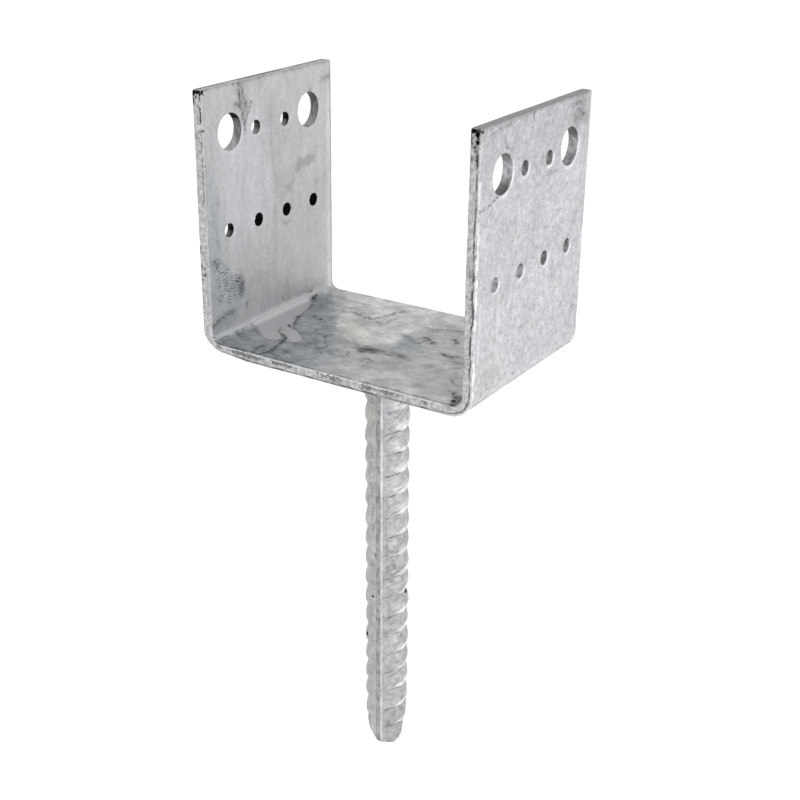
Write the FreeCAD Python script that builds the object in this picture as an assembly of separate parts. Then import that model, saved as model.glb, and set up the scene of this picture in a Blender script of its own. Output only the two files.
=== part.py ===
"""Timber post base: a bent steel U that holds a square post, welded on a ribbed bar set in concrete.

The origin is the centre of the seat, the upper face of the U's flat bottom. +Z points up into the
post, X runs from cheek to cheek and Y runs along the strip's width. Every length is in millimetres.
"""
import math
import os

import FreeCAD
import Part

Vector = FreeCAD.Vector

# U bracket, bent from one flat strip
post_width = 110.0        # clear width between the cheeks
strip_width = 80.0
strip_thickness = 4.0
cheek_height = 96.0       # from the seat to the top edge
inner_bend_radius = 3.5
outer_bend_radius = 9.0   # more than inner radius plus thickness: bending thins the strip
corner_radius = 1.3       # at the cheeks' top corners
edge_radius = 0.45        # rolled arris along the strip

# holes in the cheeks, the same on both
bolt_hole_diameter = 13.5
bolt_hole_height = 78.5
bolt_hole_spacing = 49.0
nail_hole_diameter = 5.0
nail_hole_spacing = 18.0
upper_nail_height = 77.5
lower_nail_height = 41.5
upper_nail_count = 2
lower_nail_count = 4

# ribbed bar, its end butted on the underside of the bottom
bar_core_diameter = 15.9
bar_length = 180.0
rib_direction = -77.0     # degrees from +X to the front longitudinal rib
long_rib_width = 2.9
long_rib_height = 0.85
long_rib_slope = 0.3      # how far each side leans in over the rib's height
cross_rib_height = 1.1    # at the middle of the crescent
cross_rib_end_height = 0.4
cross_rib_width = 8.6     # chord of the rib's rounded back
cross_rib_pitch = 9.3
cross_rib_tilt = 18.0     # degrees; both rows climb the same way round, like a coarse screw
first_rib_rise = 1.15     # the first crest lies above the cut end, so only its flank is left

# the bar's lower tip, pinched where it was sheared off: a tapered side and a rounded side
shear_direction = 34.0    # degrees from +X towards the tapered side
tip_taper_angle = 8.5     # degrees from the axis, above the knee
tip_knee_offset = 6.1
tip_knee_height = 5.0
tip_corner_offset = 4.2
tip_break_offset = 2.8    # from the axis to the rounded side's end
tip_break_height = 1.0
tip_round_offset = 6.6    # a point half way up the rounded side
tip_round_height = 7.0
tip_round_top = 18.0

# fillet weld round the top of the bar
weld_leg = 5.0
weld_sag = 0.4            # how far the bead's face is hollow

overcut = 5.0             # how far a cutting tool runs past what it cuts
same_place = 0.001        # closest distance that tells two edges apart

seat_height = 0.0
underside = seat_height - strip_thickness
bar_bottom = underside - bar_length
core_radius = bar_core_diameter / 2


def xz(x, z):
    """Return a point of a profile drawn in the plane of the U."""
    return Vector(x, 0, z)


def polar(radius, degrees):
    """Return a point at a radius and an angle from +X about the bar's axis."""
    angle = math.radians(degrees)
    return Vector(radius * math.cos(angle), radius * math.sin(angle), 0)


def bend_arc(centre, radius, start, middle, end):
    """Return the arc of one bend through three angles in degrees."""
    points = []
    for degrees in (start, middle, end):
        angle = math.radians(degrees)
        points.append(centre + xz(radius * math.cos(angle), radius * math.sin(angle)))
    return Part.Arc(*points).toShape()


def u_profile():
    """Return the closed outline of the bent strip, seen along its width."""
    inside = post_width / 2
    outside = inside + strip_thickness
    top = seat_height + cheek_height
    inner_left = xz(-inside + inner_bend_radius, seat_height + inner_bend_radius)
    inner_right = xz(inside - inner_bend_radius, seat_height + inner_bend_radius)
    outer_left = xz(-outside + outer_bend_radius, underside + outer_bend_radius)
    outer_right = xz(outside - outer_bend_radius, underside + outer_bend_radius)
    edges = [
        Part.makeLine(xz(-outside, top), xz(-outside, outer_left.z)),
        bend_arc(outer_left, outer_bend_radius, 180, 225, 270),
        Part.makeLine(xz(outer_left.x, underside), xz(outer_right.x, underside)),
        bend_arc(outer_right, outer_bend_radius, 270, 315, 360),
        Part.makeLine(xz(outside, outer_right.z), xz(outside, top)),
        Part.makeLine(xz(outside, top), xz(inside, top)),
        Part.makeLine(xz(inside, top), xz(inside, inner_right.z)),
        bend_arc(inner_right, inner_bend_radius, 360, 315, 270),
        Part.makeLine(xz(inner_right.x, seat_height), xz(inner_left.x, seat_height)),
        bend_arc(inner_left, inner_bend_radius, 270, 225, 180),
        Part.makeLine(xz(-inside, inner_left.z), xz(-inside, top)),
        Part.makeLine(xz(-inside, top), xz(-outside, top)),
    ]
    return Part.Wire(edges)


def side_edges(solid):
    """Return the edges that lie in the strip's two narrow sides."""
    found = []
    for edge in solid.Edges:
        box = edge.BoundBox
        off_side = abs(abs(box.Center.y) - strip_width / 2)
        if box.YLength < same_place and off_side < same_place:
            found.append(edge)
    return found


def top_corner_edges(solid):
    """Return the short edges across the thickness at the cheeks' top corners."""
    top = seat_height + cheek_height
    return [edge for edge in side_edges(solid) if edge.BoundBox.ZMin > top - same_place]


def cross_hole(diameter, y, z):
    """Return the tool for one hole that goes through both cheeks."""
    reach = post_width / 2 + strip_thickness + overcut
    return Part.makeCylinder(diameter / 2, 2 * reach, Vector(-reach, y, z), Vector(1, 0, 0))


def hole_row(diameter, spacing, count, z):
    """Return the tools for a row of equally spaced holes, centred on the strip."""
    first = -spacing * (count - 1) / 2
    return [cross_hole(diameter, first + index * spacing, z) for index in range(count)]


def u_bracket():
    """Return the bent strip with its holes."""
    face = Part.Face(u_profile())
    face.translate(Vector(0, -strip_width / 2, 0))
    solid = face.extrude(Vector(0, strip_width, 0))
    solid = solid.makeFillet(corner_radius, top_corner_edges(solid))
    solid = solid.makeFillet(edge_radius, side_edges(solid))
    tools = hole_row(bolt_hole_diameter, bolt_hole_spacing, 2, bolt_hole_height)
    tools += hole_row(nail_hole_diameter, nail_hole_spacing, upper_nail_count, upper_nail_height)
    tools += hole_row(nail_hole_diameter, nail_hole_spacing, lower_nail_count, lower_nail_height)
    return solid.cut(Part.makeCompound(tools))


def long_rib(degrees):
    """Return one longitudinal rib, a low bar with sloped sides, over the whole length."""
    root = core_radius - long_rib_width / 2
    crest = core_radius + long_rib_height
    half_crest = long_rib_width / 2 - long_rib_slope
    corners = [
        Vector(root, -long_rib_width / 2, bar_bottom),
        Vector(core_radius, -long_rib_width / 2, bar_bottom),
        Vector(crest, -half_crest, bar_bottom),
        Vector(crest, half_crest, bar_bottom),
        Vector(core_radius, long_rib_width / 2, bar_bottom),
        Vector(root, long_rib_width / 2, bar_bottom),
    ]
    face = Part.Face(Part.makePolygon(corners + corners[:1]))
    rib = face.extrude(Vector(0, 0, bar_length))
    rib.rotate(Vector(0, 0, 0), Vector(0, 0, 1), degrees)
    return rib


def cross_rib(side, crest_height):
    """Return one crescent rib: a tilted disc with a round rim, off centre, cut to its side.

    Seen from above the tilt draws the disc's ends in, so they start that much further out.
    """
    crest = core_radius + cross_rib_height
    end = (core_radius + cross_rib_end_height) / math.cos(math.radians(cross_rib_tilt))
    disc_radius = (crest + end ** 2 / crest) / 2
    off_centre = (crest - end ** 2 / crest) / 2
    rim = disc_radius - cross_rib_height
    half = cross_rib_width / 2
    edges = [
        Part.makeLine(xz(0, -half), xz(rim, -half)),
        Part.Arc(xz(rim, -half), xz(disc_radius, 0), xz(rim, half)).toShape(),
        Part.makeLine(xz(rim, half), xz(0, half)),
        Part.makeLine(xz(0, half), xz(0, -half)),
    ]
    disc = Part.Face(Part.Wire(edges)).revolve(Vector(0, 0, 0), Vector(0, 0, 1), 360)
    disc = Part.Solid(disc) if disc.ShapeType != "Solid" else disc
    outward = rib_direction + side * 90
    disc.translate(polar(off_centre, outward))
    disc.rotate(Vector(0, 0, 0), polar(1, outward), cross_rib_tilt)
    keep = Part.makeBox(2 * crest, 4 * crest, 4 * crest, Vector(0, -2 * crest, -2 * crest))
    keep.rotate(Vector(0, 0, 0), Vector(0, 0, 1), outward)
    rib = disc.common(keep)
    rib.translate(Vector(0, 0, crest_height))
    return rib


def shear_mark():
    """Return the prism that keeps the bar's length and the form of its sheared tip."""
    crest = core_radius + cross_rib_height
    reach = crest + overcut
    taper = math.tan(math.radians(tip_taper_angle))
    shoulder_height = tip_knee_height + (reach - tip_knee_offset) / taper
    shoulder = xz(reach, bar_bottom + shoulder_height)
    knee = xz(tip_knee_offset, bar_bottom + tip_knee_height)
    corner = xz(tip_corner_offset, bar_bottom)
    break_point = xz(-tip_break_offset, bar_bottom + tip_break_height)
    round_middle = xz(-tip_round_offset, bar_bottom + tip_round_height)
    round_top = xz(-crest, bar_bottom + tip_round_top)
    edges = [
        Part.makeLine(shoulder, knee),
        Part.makeLine(knee, corner),
        Part.makeLine(corner, break_point),
        Part.Arc(break_point, round_middle, round_top).toShape(),
        Part.makeLine(round_top, xz(-reach, round_top.z)),
        Part.makeLine(xz(-reach, round_top.z), xz(-reach, underside)),
        Part.makeLine(xz(-reach, underside), xz(reach, underside)),
        Part.makeLine(xz(reach, underside), shoulder),
    ]
    face = Part.Face(Part.Wire(edges))
    face.translate(Vector(0, -reach, 0))
    prism = face.extrude(Vector(0, 2 * reach, 0))
    prism.rotate(Vector(0, 0, 0), Vector(0, 0, 1), shear_direction)
    return prism


def ribbed_bar():
    """Return the bar: core, two longitudinal ribs and two rows of crescent ribs."""
    core = Part.makeCylinder(core_radius, bar_length, Vector(0, 0, bar_bottom))
    ribs = [long_rib(rib_direction), long_rib(rib_direction + 180)]
    count = math.ceil((bar_length + first_rib_rise) / cross_rib_pitch)
    for index in range(count):
        crest_height = underside + first_rib_rise - index * cross_rib_pitch
        ribs += [cross_rib(1, crest_height), cross_rib(-1, crest_height)]
    return core.multiFuse(ribs).common(shear_mark()).removeSplitter()


def fillet_weld(bar):
    """Return the ring of weld in the corner between the bar and the U's underside."""
    inside = core_radius - weld_leg / 2
    toe = xz(core_radius + weld_leg, underside)
    foot = xz(core_radius, underside - weld_leg)
    slope = (toe - foot).normalize()
    hollow = (toe + foot) / 2 + weld_sag * xz(-slope.z, slope.x)
    edges = [
        Part.makeLine(xz(inside, underside), toe),
        Part.Arc(toe, hollow, foot).toShape(),
        Part.makeLine(foot, xz(inside, underside - weld_leg)),
        Part.makeLine(xz(inside, underside - weld_leg), xz(inside, underside)),
    ]
    ring = Part.Face(Part.Wire(edges)).revolve(Vector(0, 0, 0), Vector(0, 0, 1), 360)
    return ring.cut(bar)


def save(shape, name):
    """Write one piece and print its size."""
    solids = shape.Solids
    piece = solids[0] if len(solids) == 1 else shape
    print(name, "solids", len(solids), "valid", piece.isValid(), "volume", round(piece.Volume, 1))
    piece.exportStep("parts/" + name + ".step")


os.makedirs("parts", exist_ok=True)
bar_shape = ribbed_bar()
save(u_bracket(), "u_bracket")
save(bar_shape, "ribbed_dowel")
save(fillet_weld(bar_shape), "fillet_weld")
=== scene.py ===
"""Looks of the timber post base: hot-dip galvanised U bracket, ribbed bar and weld.

Lengths are written in millimetres and turned into metres where a mesh or the camera is made.
The floor's reach and the lamps' places and sizes are in metres.
The bracket's sheet has its own coordinates: along the strip from the left cheek's top edge, over
the seat, to the right cheek's top edge; across the strip from front to back; and depth through it
from the face that touches the post.
"""
import math

import bpy
import numpy as np
from mathutils import Matrix, Vector


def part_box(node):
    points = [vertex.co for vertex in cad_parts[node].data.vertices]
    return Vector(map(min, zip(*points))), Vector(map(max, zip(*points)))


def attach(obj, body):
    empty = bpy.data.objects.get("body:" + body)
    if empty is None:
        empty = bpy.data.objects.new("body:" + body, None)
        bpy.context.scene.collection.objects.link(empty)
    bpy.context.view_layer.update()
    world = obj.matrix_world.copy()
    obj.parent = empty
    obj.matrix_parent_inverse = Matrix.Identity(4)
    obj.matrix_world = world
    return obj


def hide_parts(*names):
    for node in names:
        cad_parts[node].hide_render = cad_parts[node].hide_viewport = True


MM = 0.001

# strip and holes, as in the construction
strip_thickness = 4.0
inner_bend_radius = 3.5
outer_bend_radius = 9.0
corner_radius = 1.3
bolt_hole_radius = 6.75
bolt_hole_height = 78.5
bolt_hole_spacing = 49.0
nail_hole_radius = 2.5
nail_hole_spacing = 18.0
upper_nail_height = 77.5
lower_nail_height = 41.5
# rounded edge of the strip, a little softer than in the construction
edge_radius = 0.5
# how much wider the punch broke through on the left cheek's outer face, front to back
upper_flares = (1.0, 1.0)
lower_flares = (1.0, 0.0, 0.0, 0.0)

# bar and weld, as in the construction
bar_core_radius = 7.95
rib_direction = -77.0
long_rib_width = 2.9
long_rib_height = 0.85
cross_rib_height = 1.1
cross_rib_end_height = 0.4
cross_rib_width = 8.6
cross_rib_pitch = 9.3
first_rib_rise = 1.15
shear_direction = 34.0
bar_crest_radius = bar_core_radius + cross_rib_height
weld_leg = 5.0
# crescent ribs in the zinc: rise of their edge along the bar's girth, and how much they narrow
cross_rib_slope = 0.28
cross_rib_narrowing = 0.5
# how far off the axis (x, y) the bar was welded on at its top, and where that leaves its tip
bar_shift_top = (-0.64, -0.43)
bar_shift_tip = (0.19, 0.13)
# how much thinner the strip was left on the outside of its left bend
worn_bend = 0.28

# sheared tip, measured from the bar's axis and its lowest point; not quite the construction's
tip_taper = math.tan(math.radians(11.5))
tip_knee_offset = 6.4
tip_knee_height = 4.0
tip_corner_offset = 3.8
tip_break_offset = 2.8
tip_break_height = 1.0
tip_round_top = 18.0
# turn round the bar of the darker patch near the tip's bottom
tip_dark_turn = math.radians(-70.0)

# fingerprint in the left cheek's zinc: middle of its ridges (y, z) and their spacing
finger_centre = (-29.0, 9.0)
finger_pitch = 1.05

# how far round a spot or stroke the paint keeps its distance, and which strokes are soft
spot_reach = 2.0
broad_stroke = 1.15

# how fine the meshes are, and how long a bend is in the sheet's coordinates
sheet_cell = 0.86
bend_cell = 0.55
edge_lines = (0.5, 0.9, 1.4, 2.0, 2.75)
bend_run = 11.0
bolt_hole_patch = 1.45
nail_hole_patch = 1.8
hole_shares = (0.3, 0.6, 0.85, 1.0)
hole_wall_steps = 6
edge_wall_steps = 12
bar_columns = 200
bar_rows = 470
tip_shares = (0.35, 0.6, 0.8, 0.93)
weld_columns = 240
weld_rings = 13
# more than the bar has crescents in a row
most_cross_ribs = 40

# camera, fitted to the photograph
camera_place = (258.8, -402.7, 184.9)
camera_heading = 0.595
camera_drop = 0.413
camera_focus_px = 1331.9
camera_centre_px = 360.0
frame_px = 800.0
sensor_width = 36.0

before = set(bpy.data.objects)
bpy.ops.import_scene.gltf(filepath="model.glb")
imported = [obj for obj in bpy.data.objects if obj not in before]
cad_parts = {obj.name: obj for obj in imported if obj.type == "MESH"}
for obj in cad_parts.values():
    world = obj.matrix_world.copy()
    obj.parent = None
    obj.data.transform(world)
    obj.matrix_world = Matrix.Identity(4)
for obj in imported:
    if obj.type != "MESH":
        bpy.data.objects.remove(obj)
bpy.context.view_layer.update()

bracket_low, bracket_high = [np.array(corner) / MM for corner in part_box("u_bracket")]
bar_low, bar_high = [np.array(corner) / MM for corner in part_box("ribbed_dowel")]

half_width = bracket_high[1]
outer_half = bracket_high[0]
inner_half = outer_half - strip_thickness
cheek_top = bracket_high[2]
underside = bracket_low[2]
flat_end = outer_bend_radius + underside
cheek_run = cheek_top - flat_end
seat_half = outer_half - outer_bend_radius
seat_run = 2 * seat_half
seat_start = cheek_run + bend_run
strip_run = 2 * seat_start + seat_run
seat_middle = strip_run / 2


def smooth(low, high, value):
    """Return 0 below low, 1 above high and a smooth rise between; high may be the smaller."""
    t = np.clip((value - low) / (high - low), 0.0, 1.0)
    return t * t * (3 - 2 * t)


def lattice_noise(a, b, cell_a, cell_b, seed):
    """Return value noise from -1 to 1 over two coordinates, one random value per lattice cell."""
    size = 256
    table = np.random.default_rng(seed).uniform(-1, 1, (size, size))
    a = np.asarray(a) / cell_a
    b = np.asarray(b) / cell_b
    ia = np.floor(a).astype(int)
    ib = np.floor(b).astype(int)
    fa = smooth(0, 1, a - ia)
    fb = smooth(0, 1, b - ib)
    corners = [table[(ia + da) % size, (ib + db) % size] for da in (0, 1) for db in (0, 1)]
    low = corners[0] * (1 - fb) + corners[1] * fb
    high = corners[2] * (1 - fb) + corners[3] * fb
    return low * (1 - fa) + high * fa


def rough_noise(a, b, cell, seed, octaves=3):
    """Return lattice noise with finer layers added, each half as strong."""
    total = 0
    for octave in range(octaves):
        step = cell / 2 ** octave
        total = total + lattice_noise(a, b, step, step, seed + octave) / 2 ** octave
    return total


def waver(place, cell, seed, octaves=3):
    """Return rough noise along one coordinate."""
    return rough_noise(place, 0 * place, cell, seed, octaves)


def between(value, low, full, fade, high):
    """Return 1 from full to fade, with a smooth rise from low and a smooth fall to high."""
    return smooth(low, full, value) * smooth(high, fade, value)


def bend_paths(share):
    """Return inner and outer points of the left bend for shares 0 to 1 of its run."""
    straight = flat_end - inner_bend_radius
    arc = inner_bend_radius * math.pi / 2
    reach = share * (2 * straight + arc)
    angle = np.clip((reach - straight) / inner_bend_radius, 0, math.pi / 2)
    before = np.clip(reach, 0, straight)
    after = np.clip(reach - straight - arc, 0, straight)
    inner_x = -inner_half + inner_bend_radius * (1 - np.cos(angle)) + after
    inner_z = flat_end - before - inner_bend_radius * np.sin(angle)
    turn = share * math.pi / 2
    outer_x = -outer_half + outer_bend_radius * (1 - np.cos(turn))
    outer_z = flat_end - outer_bend_radius * np.sin(turn)
    return inner_x, inner_z, outer_x, outer_z


def round_corners(along, across):
    """Pull the sheet's four square corners in to the cheeks' rounded top corners."""
    from_end = np.minimum(along, strip_run - along)
    a = np.clip((corner_radius - from_end) / corner_radius, 0, 1)
    b = np.clip((np.abs(across) - half_width + corner_radius) / corner_radius, 0, 1)
    new_a = a * np.sqrt(1 - b ** 2 / 2)
    new_b = b * np.sqrt(1 - a ** 2 / 2)
    end_shift = (a - new_a) * corner_radius
    along = np.where(along < seat_middle, along + end_shift, along - end_shift)
    across = across - np.sign(across) * (b - new_b) * corner_radius
    return along, across


def on_strip(along, across, depth):
    """Return the points, in millimetres, for sheet coordinates given as arrays."""
    along, across = round_corners(along, across)
    mirrored = along > seat_middle
    run = np.where(mirrored, strip_run - along, along)
    share = np.clip((run - cheek_run) / bend_run, 0, 1)
    inner_x, inner_z, outer_x, outer_z = bend_paths(share)
    rise = np.clip(cheek_run - run, 0, None)
    run_in = np.clip(run - seat_start, 0, None)
    worn = worn_bend * smooth(cheek_run + 0.1 * bend_run, cheek_run + 0.6 * bend_run, run)
    worn = worn * smooth(seat_start + 14, seat_start - 2, run) * ~mirrored
    part = depth / strip_thickness * (1 - worn)
    x = inner_x * (1 - part) + outer_x * part + run_in
    z = inner_z * (1 - part) + outer_z * part + rise
    x = np.where(mirrored, -x, x)
    return np.stack([x, across, z], 1)


def spread(start, end, cell):
    """Return evenly spaced values from start to end, about one cell apart."""
    count = max(1, round((end - start) / cell))
    return np.linspace(start, end, count + 1)


def sheet_lines():
    """Return the grid's lines along and across the strip."""
    near = np.array(edge_lines)
    cheek = spread(near[-1], cheek_run, sheet_cell)
    bend = spread(cheek_run, seat_start, bend_cell)
    seat = spread(seat_start, seat_middle, sheet_cell)
    half = np.concatenate([near[:-1], cheek[:-1], bend[:-1], seat])
    along = np.concatenate([half, strip_run - half[-2::-1]])
    middle = spread(-half_width + near[-1], half_width - near[-1], sheet_cell)
    across = np.concatenate([-half_width + near[:-1], middle, half_width - near[-2::-1]])
    return along, across


def hole_list():
    """Return (along, across, radius, flare) of each hole, the left and the right cheek in turn."""
    holes = []
    for height, spacing, radius, left_flares in (
        (bolt_hole_height, bolt_hole_spacing, bolt_hole_radius, (0.0, 0.0)),
        (upper_nail_height, nail_hole_spacing, nail_hole_radius, upper_flares),
        (lower_nail_height, nail_hole_spacing, nail_hole_radius, lower_flares),
    ):
        for index, flare in enumerate(left_flares):
            across = spacing * (index - (len(left_flares) - 1) / 2)
            down = cheek_top - height
            holes.append((down, across, radius, flare))
            holes.append((strip_run - down, across, radius, 0.0))
    return holes


class SheetMesh:
    """Points of the bracket in sheet coordinates, with the quads between them."""

    def __init__(self):
        self.along = []
        self.across = []
        self.depth = []
        self.quads = []
        self.count = 0

    def add(self, along, across, depth):
        """Add points and return their numbers."""
        along = np.asarray(along, float)
        self.along.append(along)
        self.across.append(np.broadcast_to(across, along.shape).astype(float))
        self.depth.append(np.broadcast_to(depth, along.shape).astype(float))
        numbers = np.arange(self.count, self.count + along.size)
        self.count += along.size
        return numbers

    def join(self, first, second):
        """Add the quads between two closed rings of equally many points."""
        self.quads.append(np.stack([first, second, np.roll(second, -1), np.roll(first, -1)], 1))

    def coordinates(self):
        """Return all points' sheet coordinates as three arrays."""
        return [np.concatenate(part) for part in (self.along, self.across, self.depth)]


def rim_steps(wall_steps):
    """Return (set back, depth) steps from the inner face over a wall to the outer face."""
    angles = np.radians([30, 60, 90])
    first = [(edge_radius * math.sin(a), edge_radius * (1 - math.cos(a))) for a in angles]
    last = [(out, strip_thickness - deep) for out, deep in reversed(first)]
    levels = np.linspace(edge_radius, strip_thickness - edge_radius, wall_steps)[1:-1]
    return first + [(edge_radius, level) for level in levels] + last


def block_loop(i0, i1, j0, j1):
    """Return the numbers (i, j) of the grid nodes round a block of cells, anticlockwise."""
    loop = [(i, j0) for i in range(i0, i1)]
    loop += [(i1, j) for j in range(j0, j1)]
    loop += [(i, j1) for i in range(i1, i0, -1)]
    loop += [(i0, j) for j in range(j1, j0, -1)]
    return np.array(loop).T


def add_hole(mesh, lines, faces, open_cells, hole):
    """Open the grid's cells round a hole and join both faces through the hole's wall."""
    along, across = lines
    hole_along, hole_across, radius, flare = hole
    margin = radius * (bolt_hole_patch if radius > nail_hole_radius else nail_hole_patch)
    i0, i1 = [int(np.abs(along - hole_along - side * margin).argmin()) for side in (-1, 1)]
    j0, j1 = [int(np.abs(across - hole_across - side * margin).argmin()) for side in (-1, 1)]
    open_cells[i0:i1, j0:j1] = True
    i, j = block_loop(i0, i1, j0, j1)
    angle = np.arctan2(across[j] - hole_across, along[i] - hole_along)

    def ring(reach, share, depth):
        """Add the points a share of the way from the grid's nodes to a circle round the hole."""
        ring_along = along[i] * (1 - share) + (hole_along + reach * np.cos(angle)) * share
        ring_across = across[j] * (1 - share) + (hole_across + reach * np.sin(angle)) * share
        return mesh.add(ring_along, ring_across, depth)

    rim = radius + edge_radius
    rings = [faces[0][i, j]] + [ring(rim, share, 0.0) for share in hole_shares]
    for inward, depth in rim_steps(hole_wall_steps):
        widened = flare * float(smooth(0.25 * strip_thickness, strip_thickness, depth))
        rings.append(ring(rim - inward + widened, 1.0, depth))
    rings += [ring(rim + flare, share, strip_thickness) for share in reversed(hole_shares)]
    rings.append(faces[1][i, j])
    for ring_a, ring_b in zip(rings[:-1], rings[1:]):
        mesh.join(ring_b, ring_a)


def bracket_sheet():
    """Return the bracket's closed surface with its holes, rounded rims and edges."""
    mesh = SheetMesh()
    along, across = sheet_lines()
    grid_along, grid_across = np.meshgrid(along, across, indexing="ij")
    faces = []
    for depth in (0.0, strip_thickness):
        numbers = mesh.add(grid_along.ravel(), grid_across.ravel(), depth)
        faces.append(numbers.reshape(grid_along.shape))
    inner, outer = faces
    open_cells = np.zeros((len(along) - 1, len(across) - 1), bool)
    for hole in hole_list():
        add_hole(mesh, (along, across), faces, open_cells, hole)
    i, j = np.argwhere(~open_cells).T
    mesh.quads.append(np.stack([inner[i, j], inner[i + 1, j], inner[i + 1, j + 1], inner[i, j + 1]], 1))
    mesh.quads.append(np.stack([outer[i, j], outer[i, j + 1], outer[i + 1, j + 1], outer[i + 1, j]], 1))
    last_i, last_j = len(along) - 1, len(across) - 1
    i, j = block_loop(0, last_i, 0, last_j)
    end_side = np.where(i == 0, -1, np.where(i == last_i, 1, 0))
    edge_side = np.where(j == 0, -1, np.where(j == last_j, 1, 0))
    rings = [inner[i, j]]
    for out, depth in rim_steps(edge_wall_steps):
        rings.append(mesh.add(along[i] + end_side * out, across[j] + edge_side * out, depth))
    rings.append(outer[i, j])
    for ring_a, ring_b in zip(rings[:-1], rings[1:]):
        mesh.join(ring_a, ring_b)
    return mesh


def make_object(name, points, quads, more_faces=()):
    """Return a smooth-shaded mesh object from points in millimetres."""
    used = np.zeros(len(points), bool)
    used[quads.ravel()] = True
    for face in more_faces:
        used[list(face)] = True
    renumber = np.cumsum(used) - 1
    faces = renumber[quads].tolist() + [tuple(renumber[list(face)]) for face in more_faces]
    mesh = bpy.data.meshes.new(name)
    mesh.from_pydata((points[used] * MM).tolist(), [], faces)
    mesh.polygons.foreach_set("use_smooth", [True] * len(mesh.polygons))
    mesh.update()
    thing = bpy.data.objects.new(name, mesh)
    bpy.context.scene.collection.objects.link(thing)
    return thing, used


def push_out(thing, heights):
    """Move each vertex along its normal by a height in millimetres."""
    mesh = thing.data
    points = np.empty(len(mesh.vertices) * 3)
    normals = np.empty(len(mesh.vertices) * 3)
    mesh.vertices.foreach_get("co", points)
    mesh.vertex_normals.foreach_get("vector", normals)
    points += normals * np.repeat(heights, 3) * MM
    mesh.vertices.foreach_set("co", points)
    mesh.update()


def paint(thing, name, red, green, blue):
    """Keep three values for each vertex in a colour attribute."""
    layer = thing.data.attributes.new(name, "FLOAT_COLOR", "POINT")
    values = np.ones((len(thing.data.vertices), 4), np.float32)
    values[:, 0] = red
    values[:, 1] = green
    values[:, 2] = blue
    layer.data.foreach_set("color", values.ravel())


def strip_faces(along, across, depth):
    """Return a dict of masks that tell the bracket's faces apart."""
    inner = depth < strip_thickness * 0.02
    outer = depth > strip_thickness * 0.98
    left = along < seat_start - bend_run / 2
    right = along > strip_run - seat_start + bend_run / 2
    rim = ~inner & ~outer
    from_end = np.minimum(along, strip_run - along)
    from_edge = half_width - np.abs(across)
    front = rim & (from_edge < edge_radius + 0.01) & (across < 0)
    back = rim & (from_edge < edge_radius + 0.01) & (across > 0)
    top = rim & (from_end < edge_radius + 0.01) & ~front & ~back
    return {
        "left_in": inner & left, "right_out": outer & right, "seat_top": inner & ~left & ~right,
        "front": front, "top": top, "walls": rim & ~front & ~back & ~top,
        "left": left, "right": right, "inner": inner, "outer": outer,
    }


def spot_distance(first, second, spots):
    """Return the distance in millimetres to the edge of the nearest round spot."""
    nearest = np.full(first.shape, spot_reach)
    for spot_first, spot_second, radius in spots:
        nearest = np.minimum(nearest, np.hypot(first - spot_first, second - spot_second) - radius)
    return nearest


def line_distance(first, second, points):
    """Return the distance in millimetres to a line through the points."""
    nearest = np.full(first.shape, 1e3)
    for (a0, b0), (a1, b1) in zip(points[:-1], points[1:]):
        run_a, run_b = a1 - a0, b1 - b0
        share = ((first - a0) * run_a + (second - b0) * run_b) / (run_a ** 2 + run_b ** 2)
        share = np.clip(share, 0, 1)
        nearest = np.minimum(nearest, np.hypot(first - a0 - share * run_a, second - b0 - share * run_b))
    return nearest


def zone(first, second, corners):
    """Return how far inside a closed outline the places are in millimetres, below zero outside."""
    within = np.zeros(first.shape, bool)
    loop = list(corners) + [corners[0]]
    for (a0, b0), (a1, b1) in zip(loop[:-1], loop[1:]):
        if b0 == b1:
            continue
        crossed = (b0 > second) != (b1 > second)
        within ^= crossed & (first < a0 + (second - b0) * (a1 - a0) / (b1 - b0))
    away = line_distance(first, second, loop)
    return np.where(within, away, -away)


def stroke_marks(first, second, strokes):
    """Return the nearest stroke's distance and strength, and how dark the broad soft strokes are."""
    nearest = np.full(first.shape, spot_reach)
    strength = np.zeros(first.shape)
    soft = np.zeros(first.shape)
    for amount, half, points in strokes:
        away = line_distance(first, second, points) - half
        if half > broad_stroke:
            soft += amount * smooth(0.8, -0.9, away + 0.8 * rough_noise(first, second, 3, 111))
            continue
        away = away / (half + 0.45)
        closer = away < nearest
        nearest = np.where(closer, away, nearest)
        strength = np.where(closer, amount, strength)
    return np.clip(nearest, -spot_reach, spot_reach), strength, soft


def linear(red, green, blue):
    """Return a linear colour from 0 to 255 screen values."""
    values = np.array([red, green, blue]) / 255
    return np.where(values < 0.04045, values / 12.92, ((values + 0.055) / 1.055) ** 2.4)


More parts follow.
